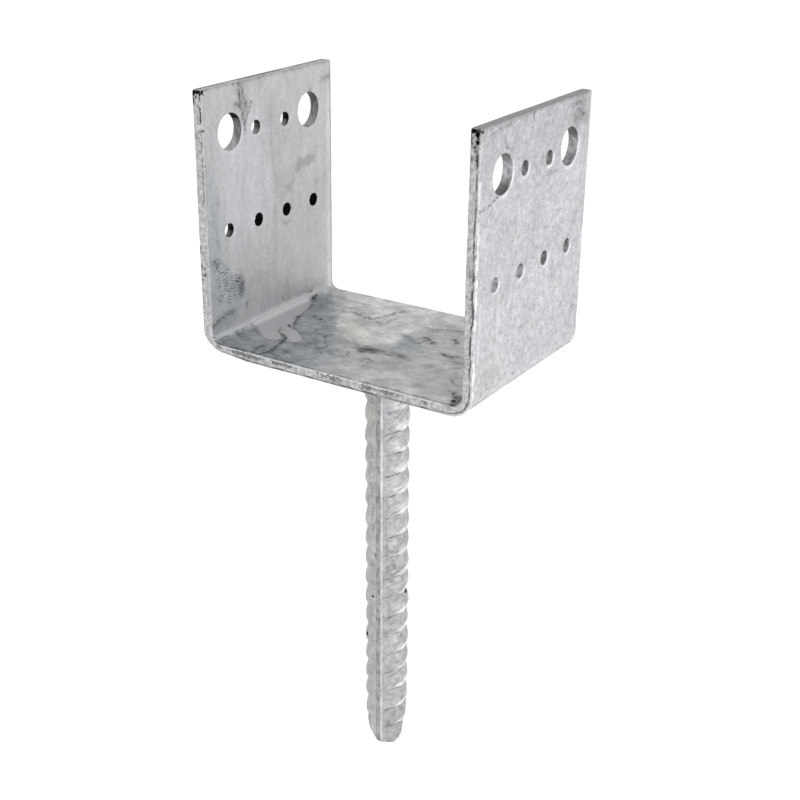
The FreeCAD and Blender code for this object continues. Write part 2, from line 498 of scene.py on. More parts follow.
# dark strokes on the seat: strength, half width, points (x, y)
seat_strokes = (
    (0.62, 0.60, ((-46.0, 4.0), (-44.6, 0.5), (-43.2, -3.0), (-41.4, -6.2))),
    (0.30, 0.45, ((-49.4, 17.5), (-47.6, 12.0), (-46.4, 6.5))),
    (0.50, 0.45, ((-44.0, -12.6), (-41.6, -14.8), (-39.2, -16.8))),
    (0.66, 0.85, ((-38.6, -17.4), (-36.2, -19.2), (-34.6, -21.0))),
    (0.60, 0.75, ((-34.4, -21.4), (-33.6, -24.6), (-33.2, -27.6), (-32.0, -31.0))),
    (0.66, 0.90, ((-31.8, -32.0), (-31.2, -35.4), (-32.6, -38.0))),
    (0.50, 0.70, ((-37.4, -31.2), (-38.0, -34.0), (-37.2, -36.6))),
    (0.62, 0.60, ((-37.6, -38.4), (-35.2, -39.0), (-33.0, -38.6))),
    (0.80, 0.45, ((-46.6, -38.9), (-43.0, -38.7), (-40.6, -39.1))),
    (0.80, 1.10, ((-54.6, 26.0), (-53.4, 24.2), (-52.6, 22.8))),
    (0.34, 0.50, ((-54.0, -16.2), (-50.0, -18.4), (-46.8, -21.4), (-44.0, -23.0))),
    (0.50, 0.60, ((-55.0, -27.0), (-52.6, -27.8))), (0.22, 1.60, ((-45.0, 18.0), (-42.0, 15.6))),
    (0.20, 1.20, ((-45.0, 12.6), (-44.6, 10.6))),
    (0.45, 0.30, ((-32.0, -0.2), (-30.4, -1.6), (-29.2, -3.4))),
    (0.60, 0.55, ((-30.4, -5.2), (-29.8, -7.0))),
    (0.66, 0.45, ((-24.2, -8.2), (-23.2, -10.0), (-22.2, -11.6))),
    (0.52, 0.50, ((-20.0, -14.8), (-18.8, -16.0))),
    (0.62, 0.50, ((-17.4, -16.6), (-16.8, -18.2), (-16.0, -19.8))),
    (0.50, 0.55, ((-19.8, -20.4), (-18.4, -21.0), (-17.2, -21.2))),
    (0.40, 0.60, ((-24.6, -19.2), (-23.4, -19.6))), (0.50, 0.40, ((-15.6, -22.8), (-14.2, -25.0))),
    (0.36, 0.55, ((-13.4, -20.0), (-11.2, -22.8), (-10.2, -24.6))),
    (0.40, 0.45, ((-28.0, -22.6), (-26.2, -24.8))), (0.44, 0.50, ((-27.0, -29.6), (-25.6, -31.4))),
    (0.34, 0.60, ((-28.2, -35.6), (-26.0, -37.0))), (0.30, 0.50, ((-11.6, -15.4), (-10.2, -15.0))),
    (0.42, 0.65, ((-11.0, -18.8), (-10.4, -19.4))),
    (0.36, 0.70, ((-6.8, -18.4), (-5.2, -20.6), (-4.2, -21.2))),
    (0.50, 1.50, ((-5.2, -13.2), (-3.0, -14.8))),
    (0.40, 2.00, ((-6.0, -13.0), (-3.4, -14.4), (0.0, -13.2))),
    (0.50, 1.20, ((-4.4, -9.6), (-2.4, -10.8))),
    (0.50, 1.50, ((-1.0, -12.0), (3.4, -12.0), (7.4, -12.6))),
    (0.40, 1.20, ((1.0, -10.6), (4.0, -10.2), (7.0, -9.4))),
    (0.44, 1.60, ((8.0, -11.0), (12.0, -11.6), (16.0, -12.4))),
    (0.42, 1.20, ((9.0, -8.6), (11.6, -9.4), (14.2, -10.6))),
    (0.30, 0.70, ((-2.0, -16.6), (1.6, -15.0), (4.0, -14.0))), (0.34, 0.70, ((1.6, -22.4), (3.6, -24.0))),
    (0.36, 0.50, ((5.4, -23.6), (6.6, -24.8))), (0.58, 0.80, ((9.2, 10.4), (10.8, 11.2), (12.0, 9.6))),
    (0.54, 0.70, ((12.8, 9.4), (14.2, 7.6), (15.0, 6.4), (13.8, 5.8))),
    (0.36, 0.50, ((10.4, 9.4), (11.4, 6.8), (10.8, 4.6), (9.0, 3.4))),
    (0.40, 1.20, ((2.6, 8.0), (4.6, 6.2), (7.4, 4.4), (9.4, 3.6))),
    (0.60, 1.10, ((20.4, 15.0), (21.6, 13.8), (23.2, 11.6))),
    (0.58, 0.85, ((24.2, 0.2), (25.4, -1.0), (27.0, -1.6), (28.6, -1.4))),
    (0.50, 0.55, ((28.8, -0.6), (30.2, 0.4), (31.4, -0.2))),
    (0.38, 0.90, ((13.6, 22.4), (15.4, 23.4), (17.0, 24.4))),
    (0.22, 0.60, ((5.2, 20.2), (8.0, 19.2), (10.4, 18.6))), (0.20, 0.50, ((8.0, 19.0), (9.0, 16.4))),
    (0.26, 0.60, ((16.0, -1.6), (16.6, -2.4))), (0.32, 0.80, ((34.0, -9.4), (36.0, -9.0))),
    (0.28, 0.70, ((37.4, -13.0), (39.0, -14.0))), (0.26, 0.60, ((26.4, -12.6), (27.4, -13.6))),
    (0.36, 0.80, ((40.0, -20.4), (42.0, -22.4), (44.0, -22.8))),
    (0.74, 0.90, ((45.8, -29.6), (47.2, -31.0), (48.4, -32.0))),
    (0.88, 1.80, ((50.2, -33.0), (50.8, -35.4), (51.4, -38.0))),
    (0.20, 0.70, ((-41.0, 30.2), (-37.0, 29.4), (-32.0, 30.0))),
    (0.24, 0.30, ((-12.6, 33.0), (-13.4, 29.0), (-14.0, 25.4), (-16.0, 20.4))),
    (0.36, 0.60, ((-22.2, 18.8), (-21.4, 17.4), (-20.0, 16.8))),
    (0.42, 0.60, ((-19.0, 16.8), (-17.8, 17.2), (-16.8, 18.6))),
    (0.30, 1.00, ((-14.6, 14.4), (-13.0, 12.8))), (0.18, 0.90, ((-34.4, 18.2), (-32.2, 16.4))),
    (0.30, 0.45, ((-38.0, 27.6), (-33.6, 26.4), (-29.0, 27.2), (-24.6, 25.4))),
    (0.26, 0.40, ((-37.0, 22.4), (-32.4, 22.8), (-28.0, 21.0), (-22.0, 21.6))),
    (0.24, 0.45, ((24.0, 8.0), (30.0, 9.4), (36.0, 8.6), (44.0, 9.2))),
    (0.22, 0.40, ((16.0, 4.6), (22.0, 5.6), (28.0, 4.4))),
    (0.20, 0.60, ((26.0, -6.0), (33.0, -5.0), (40.0, -6.2))),
    (0.22, 0.35, ((-24.0, -2.6), (-19.6, -4.2), (-16.6, -8.2), (-12.0, -10.4))),
    (0.26, 0.35, ((-28.6, -12.4), (-24.4, -14.2), (-21.8, -17.6), (-17.4, -23.4))),
    (0.24, 0.35, ((-25.4, -16.2), (-21.0, -19.0), (-19.6, -23.4), (-15.0, -27.0))),
    (0.22, 0.40, ((-22.6, -24.6), (-17.0, -28.2), (-13.6, -28.0))),
    (0.56, 0.45, ((-23.0, 15.5), (-19.0, 16.5), (-17.0, 19.5), (-16.5, 24.0), (-15.5, 28.5), (-12.0, 32.5))),
    (0.44, 0.50, ((-42.0, 30.0), (-36.0, 30.0), (-30.0, 29.5))),
    (0.50, 0.50, ((-31.0, 20.0), (-24.5, 17.5), (-20.0, 16.0))),
    (0.44, 0.55, ((-15.5, 13.5), (-12.0, 14.5), (-12.5, 19.5), (-11.0, 23.5))),
    (0.46, 0.50, ((4.0, 20.0), (8.5, 20.5), (13.5, 22.5), (16.0, 25.0))),
    (0.40, 0.55, ((-13.5, -6.5), (-7.5, -10.5), (-4.5, -9.5))),
    (0.46, 0.50, ((2.0, -23.5), (2.5, -19.5), (6.0, -21.0))),
)
seat_spots = (
    (-42.8, -7.6, 0.75), (-41.3, -8.9, 0.8), (-39.2, -8.8, 0.2), (-36.4, 4.9, 0.75), (-35.6, 4.6, 0.4),
    (-40.2, 6.0, 0.65), (-30.0, -6.0, 0.35), (46.8, -30.2, 0.4), (44.0, -29.6, 0.3), (49.6, -36.0, 0.9),
)
# outlines on the seat: the dark region, the bluish front left corner, the film and its tongue
seat_dark = ((-56.0, 30.0), (-51.0, 30.0), (-45.5, 26.0), (-40.5, 20.0), (-36.0, 14.0), (-32.0, 8.0),
             (-27.0, 3.5), (-24.0, -2.0), (-20.0, -8.0), (-17.0, -13.0), (-12.5, -18.0), (-8.6, -24.0),
             (-9.0, -28.0), (-12.5, -32.0), (-8.0, -36.0), (-6.0, -41.0), (-60.0, -41.0))
seat_light = ((-48.0, 41.0), (-40.0, 24.0), (-31.0, 9.0), (-24.0, 0.0), (-18.0, -8.0), (-6.0, -8.0),
              (1.0, 0.0), (4.0, 12.0), (6.0, 24.0), (11.0, 41.0))
seat_cream = (
    (-30.0, 8.0), (-24.0, 12.0), (-16.0, 8.0), (-8.0, 2.0), (-6.0, -6.0), (-14.0, -6.0), (-22.0, -1.0),
)
seat_film = (
    (-60.0, 22.0), (-52.0, 20.0), (-49.4, 16.5), (-47.6, 11.5), (-46.2, 6.0), (-45.2, 1.0), (-43.2, -3.6),
    (-41.0, -7.6), (-39.6, -10.0), (-36.0, -11.4), (-32.4, -13.8), (-29.6, -16.6), (-28.6, -19.2),
    (-30.2, -21.6), (-33.0, -22.6), (-35.0, -19.2), (-38.4, -16.8), (-36.8, -20.6), (-36.2, -23.6),
    (-40.4, -24.4), (-44.4, -23.2), (-47.4, -21.2), (-51.0, -18.0), (-60.0, -15.6),
)
seat_teal = ((-48.0, 29.0), (-44.0, 25.0), (-41.0, 20.0), (-45.0, 19.0), (-49.0, 22.0))
seat_green = ((-42.0, -1.0), (-38.0, -3.0), (-33.0, -9.0), (-31.0, -14.0), (-37.0, -10.0), (-41.0, -6.0))
seat_middle_dark = (
    (1.0, 9.0), (7.0, 8.0), (9.0, 3.0), (13.0, 0.0), (14.0, -6.0), (9.0, -10.0), (3.0, -9.0), (5.0, -4.0),
    (3.0, 3.0),
)

# strokes on the left cheek's inner face: strength, half width, points (y, z)
left_strokes = (
    (0.55, 0.55, ((-18.6, 95.4), (-18.4, 92.0), (-18.0, 88.0), (-18.2, 86.0))),
    (0.42, 0.50, ((-17.2, 94.4), (-16.4, 90.6), (-14.6, 87.6), (-14.2, 84.6))),
    (0.50, 0.45, ((-11.2, 87.4), (-13.2, 84.4), (-14.4, 82.6), (-15.6, 79.8), (-15.9, 76.4))),
    (0.36, 0.45, ((-15.4, 86.4), (-13.6, 84.2), (-14.8, 81.0))),
    (0.40, 0.60, ((-20.6, 88.0), (-19.0, 87.0), (-17.0, 84.6), (-16.4, 80.0))),
    (0.16, 2.60, ((-17.6, 92.0), (-16.4, 84.0))),
    (0.12, 2.00, ((-21.4, 87.6), (-14.0, 88.0))),
    (0.26, 1.50, ((18.2, 59.2), (17.2, 56.2))),
    (0.30, 1.90, ((20.6, 58.0), (24.2, 58.6), (27.0, 58.6))),
    (0.20, 1.60, ((11.0, 49.6), (13.6, 52.4))),
    (0.16, 0.50, ((27.2, 49.6), (29.8, 48.8), (28.4, 46.4))),
    (0.24, 0.40, ((5.6, 38.6), (7.8, 35.8), (10.4, 36.2), (11.8, 38.6))),
    (0.28, 0.45, ((10.4, 41.6), (12.0, 41.4))),
    (0.25, 1.10, ((34.0, 89.2), (38.6, 89.6))),
    (0.40, 0.40, ((25.8, 86.6), (26.0, 85.2))),
    (0.36, 0.90, ((-39.6, 6.2), (-36.0, 7.6), (-32.0, 8.8), (-27.0, 8.9))),
    (0.14, 2.20, ((-38.0, 4.6), (-31.0, 6.6), (-26.0, 7.6))),
    (0.34, 0.50, ((-18.4, 10.4), (-18.0, 8.4))),
    (0.44, 0.40, ((4.8, 5.8), (5.4, 3.8))),
    (0.40, 0.60, ((22.8, 2.4), (24.4, 1.8))),
    (0.38, 0.40, ((37.4, 12.6), (38.4, 12.2))),
    (0.20, 0.45, ((-36.6, 52.6), (-35.6, 47.6), (-34.6, 42.0), (-34.2, 36.4))),
    (0.18, 0.40, ((-38.2, 47.4), (-36.4, 46.4))),
    (0.14, 0.50, ((-33.4, 59.6), (-33.0, 52.6))),
    (0.42, 0.60, ((-20.8, 22.4), (-20.0, 18.6), (-19.6, 15.8))),
    (0.32, 1.80, ((-22.4, 20.4), (-20.6, 14.6))),
    (0.14, 2.60, ((-29.0, 21.0), (-24.0, 15.0))),
    (0.40, 0.50, ((-36.6, 31.4), (-34.8, 30.2), (-35.6, 28.4))),
    (0.20, 1.20, ((-24.4, 17.8), (-21.6, 17.2))),
    (0.30, 0.30, ((-34.6, 17.6), (-32.2, 16.8), (-32.6, 14.8), (-34.8, 15.4), (-34.6, 17.4))),
    (0.10, 0.25, ((0.8, 84.6), (-0.4, 76.0), (-0.2, 66.0), (1.6, 56.0), (4.4, 46.0))),
    (0.09, 0.25, ((-5.8, 66.0), (-5.4, 56.0), (-3.6, 47.0))),
    (0.12, 0.25, ((-10.6, 39.0), (-8.0, 31.0), (-5.2, 24.0))),
    (0.12, 0.25, ((-7.8, 38.0), (-5.4, 31.0), (-2.6, 24.6))),
    (0.08, 0.30, ((-18.6, 62.0), (-18.0, 50.0), (-17.0, 42.0))),
    (0.08, 0.25, ((14.0, 48.0), (18.6, 43.0))),
    (0.07, 0.30, ((18.6, 40.0), (19.4, 28.0))),
)
left_spots = (
    (-39.4, 81.4, 0.5), (-39.2, 68.5, 0.3), (-39.3, 95.2, 0.8), (-37.6, 95.5, 0.4), (-38.6, 94.0, 0.3),
    (24.3, 1.9, 0.25), (38.0, 12.4, 0.3), (-18.0, 9.8, 0.3), (-39.3, 1.2, 0.5), (14.0, 95.6, 0.3),
    (-22.0, 95.4, 0.4), (-38.8, 85.4, 0.25), (5.0, 4.8, 0.2),
)
left_finger = ((-38.4, 31.6), (-35.0, 33.0), (-30.6, 29.4), (-26.8, 24.6), (-21.4, 22.6), (-19.2, 18.6),
               (-20.6, 14.6), (-25.6, 12.4), (-31.4, 13.6), (-34.4, 18.6))
left_blue = ((-41.0, 66.0), (-34.0, 62.0), (-31.0, 44.0), (-33.0, 33.0), (-25.0, 26.0), (-21.0, 16.0),
             (-24.0, 4.0), (-24.0, -2.0), (-41.0, -2.0))
left_light = ((-32.0, 76.0), (-6.0, 84.0), (2.0, 62.0), (-4.0, 36.0), (-26.0, 34.0), (-31.0, 50.0))
left_grey = ((-3.0, 90.0), (4.0, 89.0), (4.0, 70.0), (10.0, 50.0), (2.0, 50.0), (-3.0, 62.0), (-4.0, 80.0))

# strokes on the right cheek's outer face: strength, half width, points (y, z)
right_strokes = (
    (0.72, 0.30, ((-40.0, 69.3), (-34.0, 69.8), (-28.6, 71.4), (-24.0, 73.0))),
    (0.16, 2.40, ((33.0, 91.0), (30.0, 86.6))),
    (0.14, 1.60, ((28.0, 88.0), (37.0, 86.0))),
    (0.36, 0.60, ((30.6, 90.6), (33.0, 88.8), (35.6, 88.2))),
    (0.30, 0.50, ((26.4, 89.4), (28.4, 87.4))),
    (0.10, 1.80, ((-36.0, 74.6), (-30.0, 73.8))),
    (0.24, 0.40, ((-34.6, 93.0), (-26.0, 94.0), (-18.0, 94.4))),
    (0.36, 0.30, ((7.6, 72.0), (13.0, 71.8), (20.0, 71.6))),
    (0.48, 0.35, ((-24.2, 90.4), (-24.0, 88.4), (-22.6, 86.8), (-20.4, 86.0))),
    (0.22, 0.80, ((-21.0, 86.4), (-18.4, 84.8))),
    (0.50, 0.40, ((-4.4, 95.6), (-4.6, 93.6))),
    (0.46, 0.45, ((24.6, 92.6), (27.4, 92.8), (29.6, 93.2), (31.4, 92.8))),
    (0.44, 0.35, ((0.4, 43.8), (1.0, 43.4))),
    (0.12, 0.50, ((-19.6, 44.6), (-20.0, 42.4), (-18.4, 41.0), (-17.4, 43.0), (-18.6, 44.8))),
    (0.20, 0.50, ((-39.4, 94.6), (-34.0, 94.8))),
    (0.34, 0.70, ((34.0, 16.0), (36.4, 15.0))),
    (0.14, 1.60, ((33.0, 13.6), (37.6, 12.4))),
    (0.22, 0.40, ((8.0, 53.0), (12.6, 52.2))),
    (0.20, 0.40, ((14.0, 51.6), (20.0, 50.8))),
    (0.16, 0.50, ((16.0, 57.6), (19.0, 56.2), (17.0, 54.4))),
    (0.32, 0.40, ((-11.6, 4.4), (-10.6, 4.0))),
    (0.30, 0.40, ((-17.6, 5.8), (-16.0, 5.6))),
    (0.20, 0.35, ((-22.4, 29.4), (-22.0, 28.6))),
    (0.24, 0.35, ((-23.0, 22.4), (-20.6, 22.8))),
    (0.20, 0.30, ((0.4, 31.4), (3.0, 31.8))),
    (0.18, 0.30, ((5.0, 31.8), (8.4, 32.2))),
    (0.18, 0.35, ((-8.0, 20.4), (-5.0, 20.2), (-2.0, 20.8))),
    (0.18, 0.35, ((-16.6, 16.8), (-13.4, 16.6))),
    (0.16, 0.35, ((-1.0, 13.8), (2.4, 13.4))),
    (0.14, 0.40, ((14.0, 33.4), (20.0, 34.4))),
)
right_spots = (
    (-39.4, 95.0, 0.6), (-37.8, 95.2, 0.3), (-36.2, 95.4, 0.3), (0.6, 43.6, 0.2), (35.2, 15.2, 0.35),
    (-24.0, 89.6, 0.2), (-4.6, 95.2, 0.35), (28.8, 93.0, 0.25), (-23.4, 87.0, 0.2), (-11.2, 4.2, 0.25),
    (-22.2, 29.2, 0.2), (16.0, 84.0, 0.15), (30.0, 20.0, 0.15), (-26.6, 22.6, 0.2), (-14.4, 86.0, 0.15),
)
right_light = (
    (-37.2, 37.0, 13.0, 0.30), (-30.6, 31.0, 15.0, 0.16), (-24.4, 37.0, 9.0, 0.34),
    (-23.2, 34.0, 13.0, 0.14),
)

# strokes on the front edges: strength, half width, points (depth, z) on the cheeks
left_front_strokes = (
    (0.95, 0.9, ((3.4, 95.6), (1.0, 95.4))), (0.8, 0.4, ((3.6, 94.6), (3.4, 91.0))),
    (0.7, 0.3, ((0.8, 95.0), (0.6, 92.4))), (0.75, 0.3, ((2.4, 90.2), (1.0, 90.0))),
    (0.8, 0.4, ((0.4, 89.4), (0.5, 84.4))), (0.5, 0.3, ((0.4, 78.0), (0.6, 74.0))),
    (0.45, 0.2, ((0.5, 72.0), (0.6, 62.0), (0.7, 54.0))), (0.5, 0.3, ((3.4, 79.0), (2.8, 79.4))),
    (0.75, 0.35, ((3.7, 37.6), (3.7, 36.0))), (0.7, 0.35, ((3.7, 30.6), (3.5, 29.4))),
    (0.7, 0.4, ((3.6, 27.0), (2.4, 26.6), (1.2, 27.4))), (0.75, 0.35, ((3.7, 25.0), (3.8, 23.6))),
    (0.6, 0.3, ((3.8, 21.4), (3.8, 14.0))), (0.5, 0.3, ((3.7, 60.4), (3.7, 58.0))),
    (0.4, 0.2, ((1.6, 22.0), (1.4, 19.4))),
)
right_front_strokes = (
    (0.95, 0.9, ((0.6, 95.4), (3.2, 95.4))), (0.85, 0.55, ((2.7, 94.6), (2.8, 91.0))),
    (0.6, 0.5, ((0.5, 94.6), (0.6, 90.4))), (0.85, 0.4, ((1.6, 89.8), (2.0, 89.4))),
    (0.8, 0.45, ((2.5, 88.0), (2.7, 84.6))), (0.5, 0.4, ((0.5, 86.6), (0.9, 85.6))),
    (0.6, 0.4, ((1.8, 69.6), (2.4, 69.2))), (0.3, 0.8, ((1.2, 50.4), (1.8, 47.4))),
)
left_front_spots = (
    (3.2, 95.2, 0.9), (1.6, 95.4, 0.9), (3.5, 92.8, 0.45), (0.5, 94.4, 0.5), (2.2, 93.4, 0.5),
    (1.0, 92.0, 0.35), (2.9, 91.4, 0.3), (1.6, 90.4, 0.35), (3.6, 94.0, 0.6), (0.8, 96.0, 0.6),
    (0.5, 88.0, 0.35), (0.45, 86.0, 0.35), (0.5, 84.6, 0.3), (0.4, 81.4, 0.4), (3.7, 36.8, 0.3),
    (3.7, 30.0, 0.3), (3.6, 26.8, 0.35), (3.7, 24.4, 0.3), (3.8, 19.0, 0.25),
)
right_front_spots = (
    (1.2, 95.2, 1.0), (2.6, 94.0, 0.9), (2.7, 91.5, 0.7), (1.4, 93.0, 0.4), (0.6, 95.6, 0.7),
    (2.6, 88.6, 0.35), (2.2, 86.0, 0.3), (1.8, 89.8, 0.3), (2.9, 44.0, 0.2), (2.8, 30.0, 0.25),
    (2.7, 21.0, 0.25),
)

# black spots on the bar: distance round it from the first long rib, z, radius
bar_spots = ((-6.8, -131.0, 0.9), (-3.1, -110.8, 0.6), (13.0, -110.4, 1.0))
# painted shade lines along the first long rib, in degrees round the bar: rise from, full from, full to, end
long_rib_shade_lines = (
    (8.6, 9.8, 10.8, 13.0),
    (-14.0, -12.4, -11.0, -9.5),
    (-1.0, 0.2, 1.4, 2.4),
)
# grey marks on the bar: strength, half width, points (distance round it, z)
bar_strokes = (
    (0.45, 0.40, ((3.6, -38.4), (5.0, -37.4), (6.4, -35.8))), (0.40, 0.45, ((9.6, -41.6), (10.4, -40.4))),
    (0.35, 0.22, ((2.3, -70.0), (2.6, -78.0), (2.9, -87.5))), (0.60, 0.35, ((2.2, -90.6), (3.2, -90.4))),
    (0.55, 0.35, ((-1.9, -90.2), (-1.8, -91.6))), (0.45, 0.35, ((-0.6, -65.0), (-0.3, -65.4))),
    (0.35, 0.35, ((2.5, -65.3), (3.0, -65.6))), (0.50, 0.35, ((-1.3, -83.0), (-1.2, -84.2))),
    (0.35, 0.50, ((-4.6, -42.6), (-4.2, -43.4))), (0.35, 0.25, ((-1.6, -88.0), (-1.5, -93.0))),
    (0.30, 0.50, ((3.4, -88.6), (5.4, -88.2), (7.0, -88.8))), (0.30, 0.45, ((3.0, -96.0), (5.0, -95.0))),
    (0.55, 0.25, ((2.0, -121.6), (3.6, -120.8))),
    (0.40, 0.45, ((2.0, -127.6), (3.6, -125.8), (5.0, -126.4))),
    (0.45, 0.40, ((-6.6, -171.0), (-5.6, -174.0))), (0.55, 0.50, ((-2.0, -182.4), (-0.6, -183.4))),
    (0.30, 0.25, ((-1.6, -160.0), (-1.2, -172.0))), (0.25, 0.25, ((-3.4, -70.0), (-3.0, -82.0))),
)

# plain tones of the zinc
left_zinc = linear(187, 186, 189)
left_blue_zinc = linear(178, 183, 187)
left_light_zinc = linear(197, 195, 199)
left_grey_zinc = linear(176, 178, 181)
right_zinc = linear(190, 191, 194)
right_rosy_zinc = linear(190, 184, 188)
right_corner_zinc = linear(158, 159, 161)
right_top_zinc = linear(168, 169, 172)
# zinc bead on the rolled edges, painted white as its highlight
white_bead_highlight_zinc = linear(240, 241, 243)
seat_zinc = linear(183, 184, 186)
seat_front_zinc = linear(188, 189, 191)
seat_light_zinc = linear(209, 210, 209)
seat_cream_zinc = linear(214, 211, 205)
seat_dark_zinc = linear(162, 170, 174)
seat_teal_zinc = linear(164, 180, 179)
seat_film_zinc = linear(207, 206, 209)
edge_zinc = linear(180, 180, 180)
# bead on the front edge's outer arris, painted light as its highlight
bead_highlight_zinc = linear(222, 223, 224)
cut_zinc = linear(136, 138, 140)
left_cut_zinc = linear(186, 186, 188)
sheared_zinc = linear(104, 106, 108)
hidden_zinc = linear(186, 187, 190)
bar_zinc = linear(176, 177, 179)
bar_olive_zinc = linear(164, 165, 159)
weld_zinc = linear(186, 187, 188)
# marks on the zinc, from pale to black; the white and the smudge colours also carry painted highlights and
# painted shade
white_mark_and_highlight = linear(250, 250, 252)
film_rim = linear(98, 104, 108)
vein_mark = linear(82, 88, 92)
speck_mark = linear(72, 72, 70)
smudge_and_shade_mark = linear(66, 70, 72)
stroke_mark = linear(58, 63, 66)
black_mark = linear(16, 15, 14)

# painted shade on each hole's wall: how light it is at its middle, top and bottom, front to back in each row
left_hole_shades = ((0.34, 0.01, 0.85), (0.30, 0.08, 0.60), (0.05, 0.01, 0.50), (0.03, 0.01, 0.40),
                   (0.03, 0.01, 0.20), (0.01, 0.01, 0.04), (0.01, 0.01, 0.01), (0.01, 0.01, 0.03))
right_hole_shades = ((0.90, 0.50, 0.30), (0.75, 0.30, 0.60), (0.55, 0.30, 0.90), (0.60, 0.30, 0.80),
                    (1.10, 0.70, 1.30), (1.05, 0.60, 1.20), (0.55, 0.30, 0.90), (0.70, 0.35, 0.95))


def face_places(along, across):
    """Return (y, z) on the left cheek, (x, y) on the seat and (y, z) on the right cheek."""
    left = across, cheek_top - along
    seat = along - seat_middle, across
    right = across, cheek_top - strip_run + along
    return left, seat, right


def right_end(along):
    """Return 0 to 1 as the front edge turns up into the right cheek."""
    return smooth(seat_middle + 40, seat_middle + 52, along)


def seat_edge(along, front):
    """Return 0 to 1 on the front edge between the two bends."""
    return front * smooth(seat_start - 6, seat_start + 2, along) * (1 - right_end(along))


def seam(along, depth):
    """Return 0 to 1 along the seams that shearing left in the front edge: grooved, and darkened with painted
    shade.
    """
    on_right_end = right_end(along)
    height = face_places(along, depth)[2][1]
    calm = 0.18 * waver(along, 9, 31)
    low = smooth(60, 44, height)
    wavy = (0.42 * waver(along, 3.0, 33, 3) + 0.16) * low
    broken = 0.35 + 0.65 * smooth(-0.5, 0.3, waver(along, 2.2, 47) + 0.35 * low)
    width = 0.34 + 0.16 * low * (0.6 + waver(along, 2.4, 49, 2))
    on_right = smooth(width, 0.4 * width, np.abs(depth - 2.7 - calm - wavy)) * on_right_end * broken
    middle = (1 - on_right_end) * smooth(seat_start - 4, seat_start + 6, along)
    pits = smooth(0.15, 0.6, rough_noise(along, depth, 2.2, 43))
    low_side = smooth(0.85, 0.3, np.abs(depth - 3.75)) * middle * (0.5 + 0.6 * pits)
    return np.clip(on_right + low_side, 0, 1)


def hole_walls(along, across, depth, colour, walls):
    """Paint shade on the hole walls; return each vertex's distance and direction from a rim, and the walls
    painted black as shade.
    """
    shaded_black_walls = np.zeros(along.shape, bool)
    rim = np.full(along.shape, 9.0)
    turn = np.zeros(along.shape)
    for index, (hole_along, hole_across, radius, flare) in enumerate(hole_list()):
        away_along, away_across = along - hole_along, across - hole_across
        reach = np.maximum(np.hypot(away_along, away_across), 0.1)
        right = index % 2 == 1
        middle, top, bottom = (right_hole_shades if right else left_hole_shades)[index // 2]
        up = (away_along if right else -away_along) / reach
        # painted shade, darker towards the top of each wall
        tone = middle + (top - middle) * smooth(0.1, 0.75, up) + (bottom - middle) * smooth(0.1, 0.95, -up)
        tone = tone * (1 + 0.5 * lattice_noise(away_along + depth, away_across - depth, 1.1, 1.1, 90 + index))
        near = walls & (reach < radius + flare + 0.7)
        colour[near] = (hidden_zinc * np.clip(tone, 0.008, 1.2)[:, None])[near]
        # walls painted nearly black as shade also take the black mark
        shaded_black_walls |= near & (tone < 0.045)
        closer = reach - radius < rim
        rim = np.where(closer, reach - radius, rim)
        turn = np.where(closer, np.arctan2(up, away_across / reach), turn)
    return rim, turn, shaded_black_walls


def inside(first, second, corners, soft=1.5, seed=11, rough=1.6):
    """Return 0 to 1 inside an outline, with a soft and uneven border."""
    border = zone(first, second, corners) + rough * rough_noise(first, second, 5, seed)
    return smooth(-soft, soft, border)


def blend(colour, other, weight):
    """Return two colours, or sets of them, mixed by a weight for each vertex."""
    weight = np.clip(weight, 0, 1)[:, None]
    return colour * (1 - weight) + other * weight


def seat_colours(x, y):
    """Return the seat's marbled zinc tones."""
    tone = blend(seat_zinc, seat_front_zinc, smooth(-8, -20, y) * smooth(-8, 4, x))
    back_right = smooth(20, 32, y) * smooth(6, 10, x)
    tone = blend(tone, seat_light_zinc, 0.5 * back_right)
    light = inside(x, y, seat_light, 2.5, 13, 2.4)
    tone = blend(tone, seat_light_zinc, light * (0.85 + 0.3 * rough_noise(x, y, 6, 17)))
    tone = blend(tone, seat_cream_zinc, 0.8 * inside(x, y, seat_cream, 3.5, 19, 2.0))
    tone = blend(tone, seat_dark_zinc, 0.55 * inside(x, y, seat_middle_dark, 1.2, 23, 2.4))
    cloud = 0.75 + 0.4 * rough_noise(x, y, 7, 27)
    region = inside(x, y, seat_dark, 1.0, 29, 1.4)
    far = inside(x, y, seat_dark, 4.0, 30, 4.0)
    region = region + (far - region) * smooth(4, 14, y)
    tone = blend(tone, seat_dark_zinc, region * cloud)
    tone = blend(tone, seat_teal_zinc, 0.4 * inside(x, y, seat_teal, 1.6, 37))
    tone = blend(tone, seat_teal_zinc, 0.5 * inside(x, y, seat_green, 1.6, 39))
    marbling = 0.20 * rough_noise(0.7 * x, y, 4.5, 41) + 0.11 * rough_noise(0.7 * x, y, 2.0, 45, 2)
    return tone * (1 + marbling)[:, None]


def left_colours(y, z):
    """Return the left cheek's zinc tones, cloudy and bluish at the lower front, with a painted highlight
    along the rolled back edge.
    """
    tone = blend(left_zinc, left_light_zinc, 0.8 * inside(y, z, left_light, 5, 51, 2.5))
    tone = blend(tone, left_grey_zinc, 0.35 * inside(y, z, left_grey, 3, 53, 1.5))
    tone = blend(tone, left_blue_zinc, 0.75 * inside(y, z, left_blue, 2.5, 55, 2.5))
    # painted highlight on the rolled back edge
    border = between(y, 35.6, 37.2, 38.6, 39.6)
    tone = blend(tone, white_bead_highlight_zinc, 0.3 * border * smooth(90, 80, z))
    cloudy = 0.035 * rough_noise(y, z, 8, 57) + 0.03 * rough_noise(y, z, 3, 58) + 0.05 * smooth(34, 12, z)
    return tone * (1 + cloudy)[:, None]


